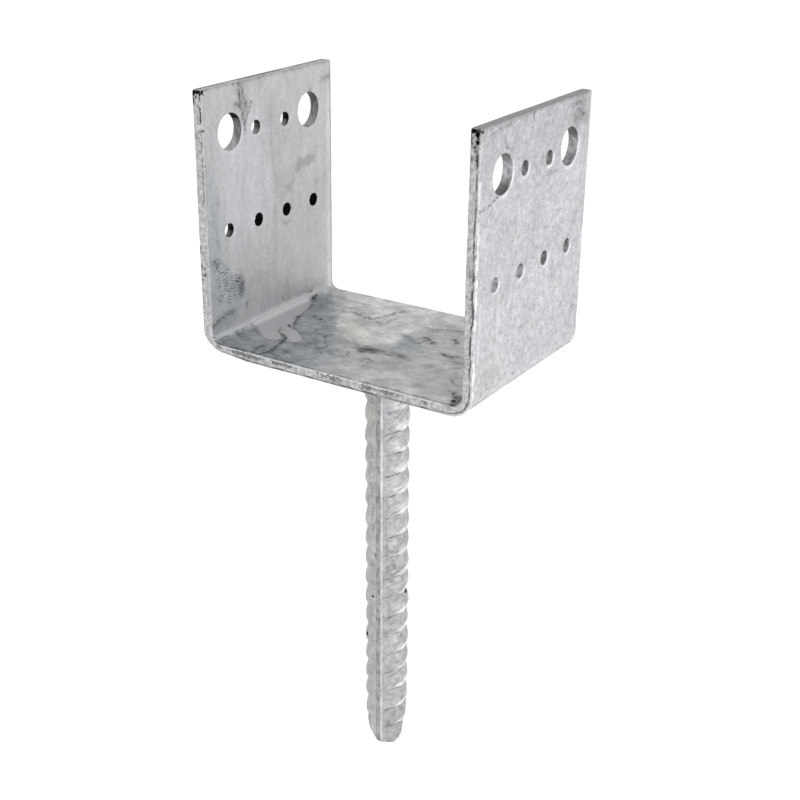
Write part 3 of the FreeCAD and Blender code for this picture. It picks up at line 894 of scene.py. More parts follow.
def right_colours(y, z):
    """Return the right cheek's zinc tones, with a painted highlight on the zinc bead along the rolled front
    edge.
    """
    low_front = smooth(22, 8, z) * smooth(-12, -26, y)
    tone = blend(right_zinc, right_rosy_zinc, 0.5 * low_front)
    corner = smooth(21, 27, y + rough_noise(y, z, 4, 70)) * smooth(83, 88, z + rough_noise(y, z, 4, 72))
    tone = blend(tone, right_corner_zinc, 0.6 * corner)
    tone = blend(tone, right_top_zinc, 0.35 * smooth(66, 84, z))
    lower = smooth(62, 40, z)
    # zinc bead along the rolled front edge, painted white as its highlight
    edge = y + 0.4 * waver(z, 3, 61)
    bead = smooth(-39.1 + 0.2 * lower, -39.7 + 0.2 * lower, edge) * smooth(95, 88, z)
    whiteness = 0.4 + 0.3 * lower + 0.8 * waver(z, 3, 63)
    tone = blend(tone, white_bead_highlight_zinc, bead * whiteness)
    return tone * (1 + 0.06 * rough_noise(y, z, 8, 65) + 0.03 * rough_noise(y, z, 2.4, 68, 2))[:, None]


def bracket_colours(along, across, depth, faces):
    """Return each vertex's zinc tone with painted shade on the hole walls and painted highlights on the
    rolled edges, the raised lips round the holes, and the walls painted black as shade.
    """
    (left_y, left_z), (seat_x, seat_y), (right_y, right_z) = face_places(along, across)
    colour = np.tile(hidden_zinc, (len(along), 1))
    rim, turn, shaded_black_walls = hole_walls(along, across, depth, colour, faces["walls"])
    # raised zinc lip round each hole; its lower side is lightened as a painted highlight
    lip_and_highlight = smooth(0.9, 0.25, np.abs(rim - 0.6)) * smooth(0.1, 0.9, np.cos(turn + 0.9))
    lip_and_highlight = lip_and_highlight * (faces["inner"] | faces["outer"])
    patchy = 0.75 + 0.5 * rough_noise(along, depth, 5, 62)
    # bead on the front edge's outer arris, painted light as its highlight
    bead = 0.5 * right_end(along) * smooth(2.9, 3.3, depth) * patchy
    sheared = smooth(1.3, 2.3, depth + 0.8 * rough_noise(across, depth, 5, 66))
    colour[faces["top"]] = cut_zinc
    for mask, tones in (
        (faces["left_in"], left_colours(left_y, left_z)),
        (faces["right_out"], right_colours(right_y, right_z)),
        (faces["seat_top"], seat_colours(seat_x, seat_y)),
        (faces["front"], blend(edge_zinc, bead_highlight_zinc, bead)),
        (faces["top"] & faces["left"], blend(left_cut_zinc, sheared_zinc, sheared)),
    ):
        colour[mask] = tones[mask]
    return colour, lip_and_highlight, shaded_black_walls


def bracket_relief(along, across, depth, faces, groove_and_shade, lip_and_highlight):
    """Return how far the zinc stands out at each vertex, in millimetres."""
    from_edge = half_width - np.abs(across)
    relief = 0.03 * rough_noise(along + 40 * depth, across, 11, 3)
    relief += 0.012 * rough_noise(along + 40 * depth, across, 2.6, 9, 2)
    relief += faces["front"] * 0.06 * rough_noise(along, depth, 1.4, 15)
    relief -= 0.4 * groove_and_shade
    near_edge = smooth(2.2, 0.6, from_edge) * (faces["inner"] | faces["outer"])
    relief += 0.07 * near_edge * (1 + rough_noise(along, across, 6, 21))
    return relief + 0.14 * lip_and_highlight


def bracket_shading_and_marks(along, across, depth, faces, groove_and_shade, lip_and_highlight):
    """Return how dark, or below zero how bright, the edges, bends and lips of the bracket are, with painted
    shade in the sheared grooves and painted highlights on the hole lips.
    """
    (left_y, left_z), (_, seat_y), (right_y, right_z) = face_places(along, across)
    left_in, seat_top, right_out = faces["left_in"], faces["seat_top"], faces["right_out"]
    from_edge = half_width - np.abs(across)
    from_end = np.minimum(along, strip_run - along)
    shade_and_smudge = (left_in | right_out) * 0.3 * smooth(1.5, 0.3, from_end + 0.5 * waver(across, 3, 67))
    lower_front = seat_top & (seat_y < 0)
    shade_and_smudge += lower_front * 0.5 * smooth(1.3, 0.3, from_edge + 0.7 * waver(along, 4, 69))
    # painted shade in the sheared grooves
    shade_and_smudge += 0.95 * groove_and_shade
    shade_and_smudge -= 0.35 * seat_edge(along, faces["front"]) * smooth(0.9, 0.4, depth)
    # painted highlight on the lower side of each hole's lip
    shade_and_smudge -= lip_and_highlight * np.where(faces["left"], 0.10, 0.55)
    under_bend = np.abs(strip_run - cheek_run - along - 0.46 * bend_run)
    blotches = np.clip(0.6 + waver(across, 3.5, 107), 0.3, 1.3)
    shade_and_smudge += faces["outer"] * faces["right"] * 0.7 * smooth(1.7, 0.6, under_bend) * blotches
    shade_and_smudge += left_in * 0.3 * smooth(0.5, 0.1, np.abs(left_y - 39.2 - 0.2 * waver(left_z, 9, 71)))
    for place, height, reach, strength in right_light:
        bright = smooth(0.9, 0.2, np.abs(right_y - place - 0.3 * waver(right_z, 8, 73)))
        span = between(right_z, height + 2, height - 2, reach + 3, reach - 3)
        shade_and_smudge -= right_out * strength * bright * span * (0.8 + 0.4 * rough_noise(right_z, right_y, 4, 75))
    return shade_and_smudge


def bracket_marks(along, across, depth, faces):
    """Return the distances to spots and strokes, how strong the strokes are, and the soft strokes."""
    left, seat, right = face_places(along, across)
    front = faces["front"]
    spots = np.full(along.shape, spot_reach)
    strokes = np.full(along.shape, spot_reach)
    strength = np.zeros_like(along)
    broad = np.zeros_like(along)
    for mask, (first, second), marks, dots, bent in (
        (faces["left_in"], left, left_strokes, left_spots, 0),
        (faces["seat_top"], seat, seat_strokes, seat_spots, 1),
        (faces["right_out"], right, right_strokes, right_spots, 0),
        (front & faces["left"], (depth, left[1]), left_front_strokes, left_front_spots, 0),
        (front & faces["right"], (depth, right[1]), right_front_strokes, right_front_spots, 0),
    ):
        bent_first = first + bent * 0.9 * rough_noise(first, second, 4, 101)
        bent_second = second + bent * 0.7 * rough_noise(first, second, 4, 105)
        away, amount, soft = stroke_marks(bent_first, bent_second, marks)
        strokes[mask] = away[mask]
        strength[mask] = 1.3 * amount[mask]
        broad[mask] = soft[mask]
        spots[mask] = spot_distance(first, second, dots)[mask]
    return spots, strokes, strength, broad


def on_faces(count, rest, tones):
    """Return one value for each vertex: the rest value, and on each mask its own number or field."""
    values = np.full(count, rest)
    for mask, tone in tones:
        values[mask] = np.broadcast_to(tone, count)[mask]
    return values


def bracket_grain(along, across, depth, faces):
    """Return how strong each kind of grain is: veins, streaks, mottling, fingerprint, specks, dashes."""
    left, (seat_x, seat_y), (right_y, right_z) = face_places(along, across)
    left_in, seat_top, right_out = faces["left_in"], faces["seat_top"], faces["right_out"]
    front, top = faces["front"], faces["top"]
    count = len(along)
    marbled = 0.5 + 0.5 * inside(seat_x, seat_y, seat_dark, 3, 77)
    veins = on_faces(count, 0.0, [(seat_top, marbled * (0.4 + 0.6 * smooth(36, 16, seat_x)))])
    streak = on_faces(count, 0.0, [
        (faces["left"] & (faces["inner"] | faces["outer"]), 1.0),
        (faces["right"] & faces["inner"], 0.6),
        (right_out, 0.1 + 0.5 * smooth(40, 30, right_z) * smooth(-16, -24, right_y)),
    ])
    mottle = on_faces(count, 0.5, [
        (left_in | seat_top, 0.6), (right_out, 1.5), (front, 2.6), (top, 1.4),
    ])
    finger = left_in * smooth(-1.5, 0.5, zone(*left, left_finger))
    clusters = np.clip(0.75 + 1.0 * rough_noise(along, 0.5 * depth, 4.0, 79), 0.2, 1.5)
    upper_band = between(depth, 0.4, 0.9, 1.4, 2.8)
    crowded = 0.6 + 0.4 * smooth(seat_middle - 5, seat_middle - 25, along)
    edge_specks = 0.9 * upper_band * crowded + 0.6 * smooth(2.9, 3.5, depth)
    speck = on_faces(count, 0.10, [
        (right_out, 0.14 + 0.20 * rough_noise(right_y, right_z, 9, 78)),
        (left_in, -0.05),
        (seat_top, 0.10 + 0.10 * inside(seat_x, seat_y, seat_dark)),
        (front, clusters * (0.38 + seat_edge(along, front) * edge_specks)),
        (top, 0.5),
    ])
    dashes = on_faces(count, 0.0, [
        (right_out, 0.40 + 0.40 * smooth(44, 34, right_z) * smooth(-30, -20, right_y)),
        (left_in, 0.10),
        (front, 0.2),
    ])
    return veins, streak, mottle, finger, speck, dashes


def distance_paint(distance):
    """Return a distance within the painted reach as 0 to 1."""
    return distance / (2 * spot_reach) + 0.5


def build_bracket():
    """Return the bracket with its relief and its paint."""
    sheet = bracket_sheet()
    place = sheet.coordinates()
    thing, used = make_object("bracket_strip", on_strip(*place), np.concatenate(sheet.quads))
    place = [part[used] for part in place]
    along, across, depth = place
    faces = strip_faces(*place)
    groove_and_shade = seam(along, depth) * faces["front"]
    colour, lip_and_highlight, shaded_black_walls = bracket_colours(*place, faces)
    push_out(thing, bracket_relief(*place, faces, groove_and_shade, lip_and_highlight))

    spots, strokes, strength, soft = bracket_marks(*place, faces)
    # the walls painted black as shade get the black mark
    spots[shaded_black_walls] = -spot_reach
    shade_and_smudge = bracket_shading_and_marks(*place, faces, groove_and_shade, lip_and_highlight) + soft
    veins, streak, mottle, finger, speck, dashes = bracket_grain(*place, faces)
    from_film = np.clip(zone(*face_places(along, across)[1], seat_film), -spot_reach, spot_reach)
    film = on_faces(len(along), -spot_reach, [(faces["seat_top"], from_film)])
    paint(thing, "zinc_colour", *np.clip(colour, 0, 1).T)
    paint(thing, "zinc_marks_and_shading", distance_paint(spots), shade_and_smudge * 0.5 + 0.5, veins)
    paint(thing, "zinc_strokes", distance_paint(strokes), strength, dashes)
    paint(thing, "zinc_grain", streak, mottle, finger)
    paint(thing, "zinc_film", distance_paint(film), speck, 0)
    return thing


def angle_between(angle, centre):
    """Return angles in radians as seen from a centre in degrees, from -pi to pi."""
    return (angle - math.radians(centre) + math.pi) % (2 * math.pi) - math.pi


def cut_by_tip(radius, turn, height, bottom):
    """Return the bar's radius and height near its sheared tip, and where the shear cut it."""
    rise = height - bottom
    knee = tip_knee_offset + (rise - tip_knee_height) * tip_taper
    below = tip_corner_offset + (tip_knee_offset - tip_corner_offset) * rise / tip_knee_height
    plus = np.where(rise > tip_knee_height, knee, below)
    share = np.clip(rise / tip_round_top, 0, 1)
    minus = tip_break_offset + (bar_crest_radius - tip_break_offset) * np.sqrt(1 - (1 - share) ** 2)
    toward = np.cos(turn - math.radians(shear_direction))
    limit = np.where(toward > 0, plus / np.maximum(toward, 0.05), minus / np.maximum(-toward, 0.05))
    sheared = smooth(0.0, 0.4, radius - limit)
    sharp = 4.0
    radius = -np.logaddexp(-sharp * radius, -sharp * limit) / sharp
    radius += sheared * 0.08 * rough_noise(turn * bar_core_radius, height, 1.7, 77)
    slope = (tip_corner_offset - radius * toward) / (tip_corner_offset + tip_break_offset)
    lifted = height + tip_break_height * np.clip(slope, 0, 1.2) * np.exp(-rise / 2.5)
    return radius, lifted, sheared


def tip_rings(outline, bottom):
    """Return the rings that close the broken end, from the middle outwards."""
    rings = []
    for shrink in tip_shares:
        ring = outline[None] * (shrink, shrink, 1)
        across = (ring[..., 0] * math.cos(math.radians(shear_direction))
                  + ring[..., 1] * math.sin(math.radians(shear_direction)))
        share = np.clip((tip_corner_offset - across) / (tip_corner_offset + tip_break_offset), 0, 1.2)
        ring[..., 2] = bottom + tip_break_height * share - 0.25 * (1 - shrink)
        rings.append(ring)
    return rings


def long_ribs(core, from_first, from_rib, height):
    """Return the radius over the two long ribs, and the distance from the middle of the nearer one."""
    aside = bar_core_radius * np.sin(np.minimum(from_rib, math.pi / 2))
    flat = (bar_core_radius + long_rib_height) / np.cos(np.minimum(from_rib, 0.6))
    uneven = 0.16 * rough_noise(height, np.where(np.abs(from_first) < 1, 0, 9), 7, 57)
    half = long_rib_width / 2
    return core + (flat - core) * smooth(half + 0.25 + uneven, half - 0.35, aside), aside


def cross_ribs(core, from_first, from_rib, height, top):
    """Return the radius over the crescents, the place in a pitch from a crest, and where a foot ends."""
    end = bar_core_radius + cross_rib_end_height
    disc = (bar_crest_radius + end ** 2 / bar_crest_radius) / 2
    off_centre = (bar_crest_radius - end ** 2 / bar_crest_radius) / 2
    side_angle = math.pi / 2 - from_rib
    rim = off_centre * np.cos(side_angle) + np.sqrt(disc ** 2 - (off_centre * np.sin(side_angle)) ** 2)
    side = np.sin(from_first) > 0
    from_row = np.where(side, from_first - math.pi / 2, from_first + math.pi / 2)
    lean = cross_rib_slope * bar_core_radius * from_row
    phase = (top + first_rib_rise + lean - height) / cross_rib_pitch
    number = np.round(phase)
    random = np.random.default_rng(61)
    shift = random.uniform(-0.035, 0.035, (2, most_cross_ribs))
    swell = random.uniform(-0.12, 0.1, (2, most_cross_ribs))
    row = np.where(side, 1, 0)
    pick = np.clip(number.astype(int), 0, most_cross_ribs - 1)
    part = phase - number + shift[row, pick]
    part -= 0.09 * (1 - 4 * np.clip(part, -0.5, 0.5) ** 2)
    narrowed = smooth(math.radians(8), math.radians(44), np.abs(from_row))
    foot = cross_rib_width / 2 / cross_rib_pitch * (1 - cross_rib_narrowing * narrowed)
    reached = part / np.where(part > 0, foot, 0.5)
    return core + (rim + swell[row, pick] - core) * (1 - reached ** 2), part, foot


def bar_mesh(points, bottom, top):
    """Return the bar's object from its rings of points, and how many rings close its tip."""
    grid = np.concatenate(tip_rings(points[0], bottom) + [points])
    down = (top - grid[:, :, 2]) / (top - bottom)
    for axis in range(2):
        grid[:, :, axis] += bar_shift_top[axis] * (1 - down) + bar_shift_tip[axis] * down
    count = len(grid)
    number = np.arange(count * bar_columns).reshape(count, bar_columns)
    low, high = number[:-1], number[1:]
    quads = np.stack([low, np.roll(low, -1, 1), np.roll(high, -1, 1), high], 2).reshape(-1, 4)
    caps = [tuple(number[0][::-1]), tuple(number[-1])]
    thing, _ = make_object("bar_ribbed", grid.reshape(-1, 3), quads, caps)
    return thing, count - bar_rows


def bar_shading_and_marks(around, height, degrees, part, foot, aside):
    """Return painted shade in the ribs' creases, painted highlights on their flanks and crests, and how dark
    the scratches and marks are; below zero is bright.
    """
    seen = degrees > 0
    low = smooth(-62, -84, height)
    ragged = np.clip(0.7 + 0.8 * rough_noise(around, height, 2.6, 83), 0, 1.4)
    # painted shade in the crease under each crescent rib
    crease_shade = smooth(0.05, 0.015, np.abs(part - foot - 0.01)) * smooth(1.3, 2.0, aside)
    turned_away = smooth(-64, -86, degrees)
    facing = np.clip(between(degrees, 9, 18, 60, 76), 0.15, 1)
    shade_and_smudge = 0.8 * crease_shade * ragged * np.where(seen, facing, 0.3 + 0.6 * turned_away)

    # painted highlight on the lower flank and crest of each crescent, wider towards the right
    thick = 0.06 + 0.42 * smooth(34, 84, degrees) + 0.05 * rough_noise(height, around, 3, 103)
    flank_highlight = between(part, foot - thick - 0.06, foot - thick + 0.06, foot - 0.03, foot + 0.01)
    behind = 0.35 + 0.65 * smooth(125, 95, degrees)
    flank_highlight *= smooth(30, 50, degrees) * behind
    flank_highlight *= 0.75 + 0.35 * lattice_noise(height, around, 6, 9, 113)
    shade_and_smudge -= flank_highlight * (0.3 + 0.5 * low) * seen
    crest_highlight = between(part, -0.4, 0.0, foot - 0.14, foot) * smooth(24, 50, degrees)
    lined = 0.6 + 0.9 * lattice_noise(around + 2.6 * height, height - 0.33 * around, 9, 0.7, 85)
    shade_and_smudge -= 0.45 * behind * (1 - low) * np.clip(crest_highlight * lined, 0, 1) * seen
    # on the far side: a painted highlight on each rib's lower flank and painted shade just below it
    back_flank_highlight = between(part, foot - 0.26, foot - 0.10, foot - 0.03, foot + 0.01)
    back_shade = between(part, foot - 0.02, foot + 0.03, foot + 0.06, foot + 0.24)
    shade_and_smudge -= turned_away * smooth(-166, -150, degrees) * (0.30 * back_flank_highlight - 0.26 * back_shade)

    scratched = lattice_noise(around + 2.6 * height, height - 0.45 * around, 6, 0.55, 95)
    shade_and_smudge += 0.30 * smooth(0.35, 0.9, scratched) * smooth(12, 30, degrees) * seen
    shade_and_smudge += 0.22 * smooth(0.1, 0.6, rough_noise(around, height, 1.8, 87)) * smooth(14, 24, np.abs(degrees))
    dirty = between(height, -84, -90, -98, -104) * between(degrees, 12, 18, 44, 60)
    shade_and_smudge += 0.3 * dirty * smooth(-0.2, 0.5, rough_noise(around, height, 1.6, 99))
    # painted highlight along the long rib's right flank
    long_rib_highlight = between(degrees, 2.0, 3.4, 6.6, 8.4) * (0.6 + 0.4 * smooth(-110, -60, height))
    shade_and_smudge -= 0.42 * long_rib_highlight * (0.8 + 0.5 * waver(height, 6, 89))
    # painted shade lines along the long rib
    long_rib_shade = sum(between(degrees, *limits) for limits in long_rib_shade_lines)
    shade_and_smudge += 0.22 * long_rib_shade * (0.8 + 0.6 * waver(height, 8, 97))
    rib_face = between(degrees, -13.0, -11.0, 0.5, 2.0)
    shade_and_smudge += 0.42 * rib_face * smooth(0.15, 0.6, lattice_noise(around, height, 0.7, 2.2, 131))
    return shade_and_smudge


def bar_shades(around, height, degrees):
    """Return the bar's zinc tones, one colour for each vertex, with painted shade on the long rib's flat
    face.
    """
    olive = smooth(-8, -22, degrees) * (0.25 + 0.5 * smooth(-75, -30, height))
    # painted shade on the long rib's flat face
    flat_shade = between(degrees, -12.0, -10.0, 1.5, 3.0)
    dark_tip = smooth(-162, -174, height) * between(degrees, 8, 20, 70, 90)
    light = (1 - 0.22 * flat_shade) * (1 - 0.22 * dark_tip) * (1 + 0.10 * rough_noise(around, height, 4, 93))
    return blend(bar_zinc, bar_olive_zinc, olive.ravel()) * light.ravel()[:, None]


def build_bar():
    """Return the ribbed bar: core, two long ribs, two rows of crescent ribs and a sheared tip."""
    bottom, top = bar_low[2], bar_high[2]
    angle = np.linspace(0, 2 * math.pi, bar_columns, endpoint=False)
    turn, height = np.meshgrid(angle, np.linspace(bottom, top, bar_rows))
    around = turn * bar_core_radius
    core = bar_core_radius + 0.05 * lattice_noise(height, 0 * height, 14, 1, 51)
    from_first = angle_between(turn, rib_direction)
    from_rib = np.minimum(np.abs(from_first), np.abs(angle_between(turn, rib_direction + 180)))
    long_rib, aside = long_ribs(core, from_first, from_rib, height)
    cross_rib, part, foot = cross_ribs(core, from_first, from_rib, height, top)
    sharp = 9.0
    radius = np.maximum(np.logaddexp(sharp * core, sharp * cross_rib) / sharp, long_rib)
    radius += 0.05 * rough_noise(around, height, 3.2, 71) * smooth(0.2, 1.0, aside)
    radius += 0.02 * rough_noise(around, height, 1.0, 73, 2)
    radius, lifted, sheared = cut_by_tip(radius, turn, height, bottom)
    points = np.stack([radius * np.cos(turn), radius * np.sin(turn), lifted], 2)
    thing, extra = bar_mesh(points, bottom, top)

    degrees = np.degrees(from_first)
    shade = bar_shades(around, height, degrees)
    # darker patch near the tip's bottom
    tip_dark_patch = smooth(6, 2, np.hypot(around - tip_dark_turn * bar_core_radius, height - bottom - 3))
    shade_and_smudge = bar_shading_and_marks(around, height, degrees, part, foot, aside) + 0.25 * sheared + 0.5 * tip_dark_patch
    spots = spot_distance(from_first * bar_core_radius, height, bar_spots)
    strokes, strength, _ = stroke_marks(from_first * bar_core_radius, height, bar_strokes)

    def pad(field):
        """Repeat the lowest ring of a field for the rings that close the tip."""
        field = field.reshape(bar_rows, bar_columns)
        return np.concatenate([np.repeat(field[:1], extra, 0), field]).ravel()

    paint(thing, "zinc_colour", *[pad(channel) for channel in shade.T])
    paint(thing, "zinc_marks_and_shading", distance_paint(pad(spots)), pad(shade_and_smudge) * 0.5 + 0.5, 0)
    paint(thing, "zinc_strokes", distance_paint(pad(strokes)), pad(strength), 0.35)
    paint(thing, "zinc_grain", 0.1, 1.2, 0)
    paint(thing, "zinc_film", 0.0, 0.0, 0)
    return thing


def build_weld():
    """Return the ring of weld: a bead of overlapping ripples between the bar and the seat."""
    ripples = 26
    angle = np.linspace(0, 2 * math.pi, weld_columns, endpoint=False)
    share = np.linspace(0, 1, weld_rings)
    turn, part = np.meshgrid(angle, share, indexing="ij")
    arrow = np.sin(math.pi * part)
    phase = turn * ripples / (2 * math.pi) + 0.35 * arrow
    ripple = 0.16 * (np.abs(np.sin(math.pi * phase)) - 0.5) * arrow
    swell = 0.25 * lattice_noise(turn * 12, 0 * turn, 5, 1, 91) * arrow
    out = ripple + swell + 0.35 * arrow
    reach = bar_core_radius + weld_leg * (1 - part) + out * 0.7
    drop = weld_leg * part + out * 0.7
    face = np.stack([reach * np.cos(turn), reach * np.sin(turn), underside - drop], 2)
    inner = bar_core_radius - 0.6
    back = []
    for level in (underside - weld_leg, underside - weld_leg / 2, underside):
        back.append(np.stack([inner * np.cos(angle), inner * np.sin(angle), np.full(weld_columns, level)], 1))
    grid = np.concatenate([face, np.stack(back, 1)], 1)
    across_count = grid.shape[1]
    number = np.arange(weld_columns * across_count).reshape(weld_columns, across_count)
    first, second = number, np.roll(number, -1, 1)
    quads = np.stack([first, second, np.roll(second, -1, 0), np.roll(first, -1, 0)], 2).reshape(-1, 4)
    thing, _ = make_object("weld_bead", grid.reshape(-1, 3), quads)
    # painted shade in the troughs between the ripples
    groove_shade = np.zeros((weld_columns, across_count))
    groove_shade[:, :weld_rings] = smooth(0.35, 0.0, np.abs(np.sin(math.pi * phase))) * arrow
    paint(thing, "zinc_colour", *weld_zinc)
    paint(thing, "zinc_marks_and_shading", 1.0, 0.35 * groove_shade.ravel() * 0.5 + 0.5, 0)
    paint(thing, "zinc_strokes", 1.0, 0, 0)
    paint(thing, "zinc_grain", 0, 1.2, 0)
    paint(thing, "zinc_film", 0.0, 0.2, 0)
    return thing


class Graph:
    """Short names for the shader nodes that the zinc and the sky use."""

    def __init__(self, tree):
        self.tree = tree

    def put(self, socket, value):
        """Link a socket, or set its value."""
        if isinstance(value, bpy.types.NodeSocket):
            self.tree.links.new(value, socket)
        else:
            socket.default_value = value

    def node(self, kind, inputs, **settings):
        """Return a new node with its settings and its inputs, which go by name or number."""
        node = self.tree.nodes.new("ShaderNode" + kind)
        for name, value in settings.items():
            setattr(node, name, value)
        for key, value in inputs.items():
            self.put(node.inputs[key], value)
        return node

    def math(self, operation, first, second=0.0, third=0.0, clamp=False):
        """Return the result of a math node."""
        inputs = {0: first, 1: second, 2: third}
        return self.node("Math", inputs, operation=operation, use_clamp=clamp).outputs[0]

    def times(self, first, second, clamp=False):
        """Return the product of two values."""
        return self.math("MULTIPLY", first, second, clamp=clamp)

    def plus(self, first, second):
        """Return the sum of two values."""
        return self.math("ADD", first, second)

    def around_half(self, value, factor, rest=0.0):
        """Return the rest value plus the value's distance from a half times a factor."""
        return self.math("MULTIPLY_ADD", self.math("SUBTRACT", value, 0.5), factor, rest)

    def painted_distance(self, value):
        """Return in millimetres a distance that was painted from 0 to 1."""
        return self.times(self.math("SUBTRACT", value, 0.5), 2 * spot_reach)

    def brightened(self, colour, amount):
        """Return a colour multiplied by an amount."""
        return self.node("VectorMath", {0: colour, "Scale": amount}, operation="SCALE").outputs[0]

    def scaled(self, vector, factors):
        """Return a vector multiplied by three factors."""
        return self.node("VectorMath", {0: vector, 1: factors}, operation="MULTIPLY").outputs[0]

    def shifted(self, vector, other):
        """Return the sum of two vectors."""
        return self.node("VectorMath", {0: vector, 1: other}, operation="ADD").outputs[0]

    def noise(self, vector, scale, detail=3.0, roughness=0.55, output="Fac"):
        """Return a noise texture's value or colour."""
        inputs = {"Vector": vector, "Scale": scale, "Detail": detail, "Roughness": roughness}
        return self.node("TexNoise", inputs).outputs[output]

    def bent(self, vector, scale, detail, reach):
        """Return how far a slow noise bends the places of another."""
        return self.scaled(self.noise(vector, scale, detail, output="Color"), (reach, reach, reach))

    def ramp(self, value, low, high, out_low=0.0, out_high=1.0):
        """Return a smooth step of a value from low to high."""
        inputs = {"Value": value, "From Min": low, "From Max": high, "To Min": out_low, "To Max": out_high}
        return self.node("MapRange", inputs, interpolation_type="SMOOTHSTEP").outputs["Result"]

    def mix(self, factor, first, second):
        """Return a mix of two colours."""
        inputs = {"Factor": factor, 6: first, 7: second}
        return self.node("Mix", inputs, data_type="RGBA").outputs[2]

    def marked(self, factor, colour, mark):
        """Return a colour with marks of a plain colour over it."""
        return self.mix(factor, colour, (*mark, 1.0))

    def painted(self, name):
        """Return the colour kept in a colour attribute, and its red, green and blue values."""
        colour = self.node("Attribute", {}, attribute_name=name).outputs["Color"]
        return colour, self.node("SeparateColor", {0: colour}).outputs


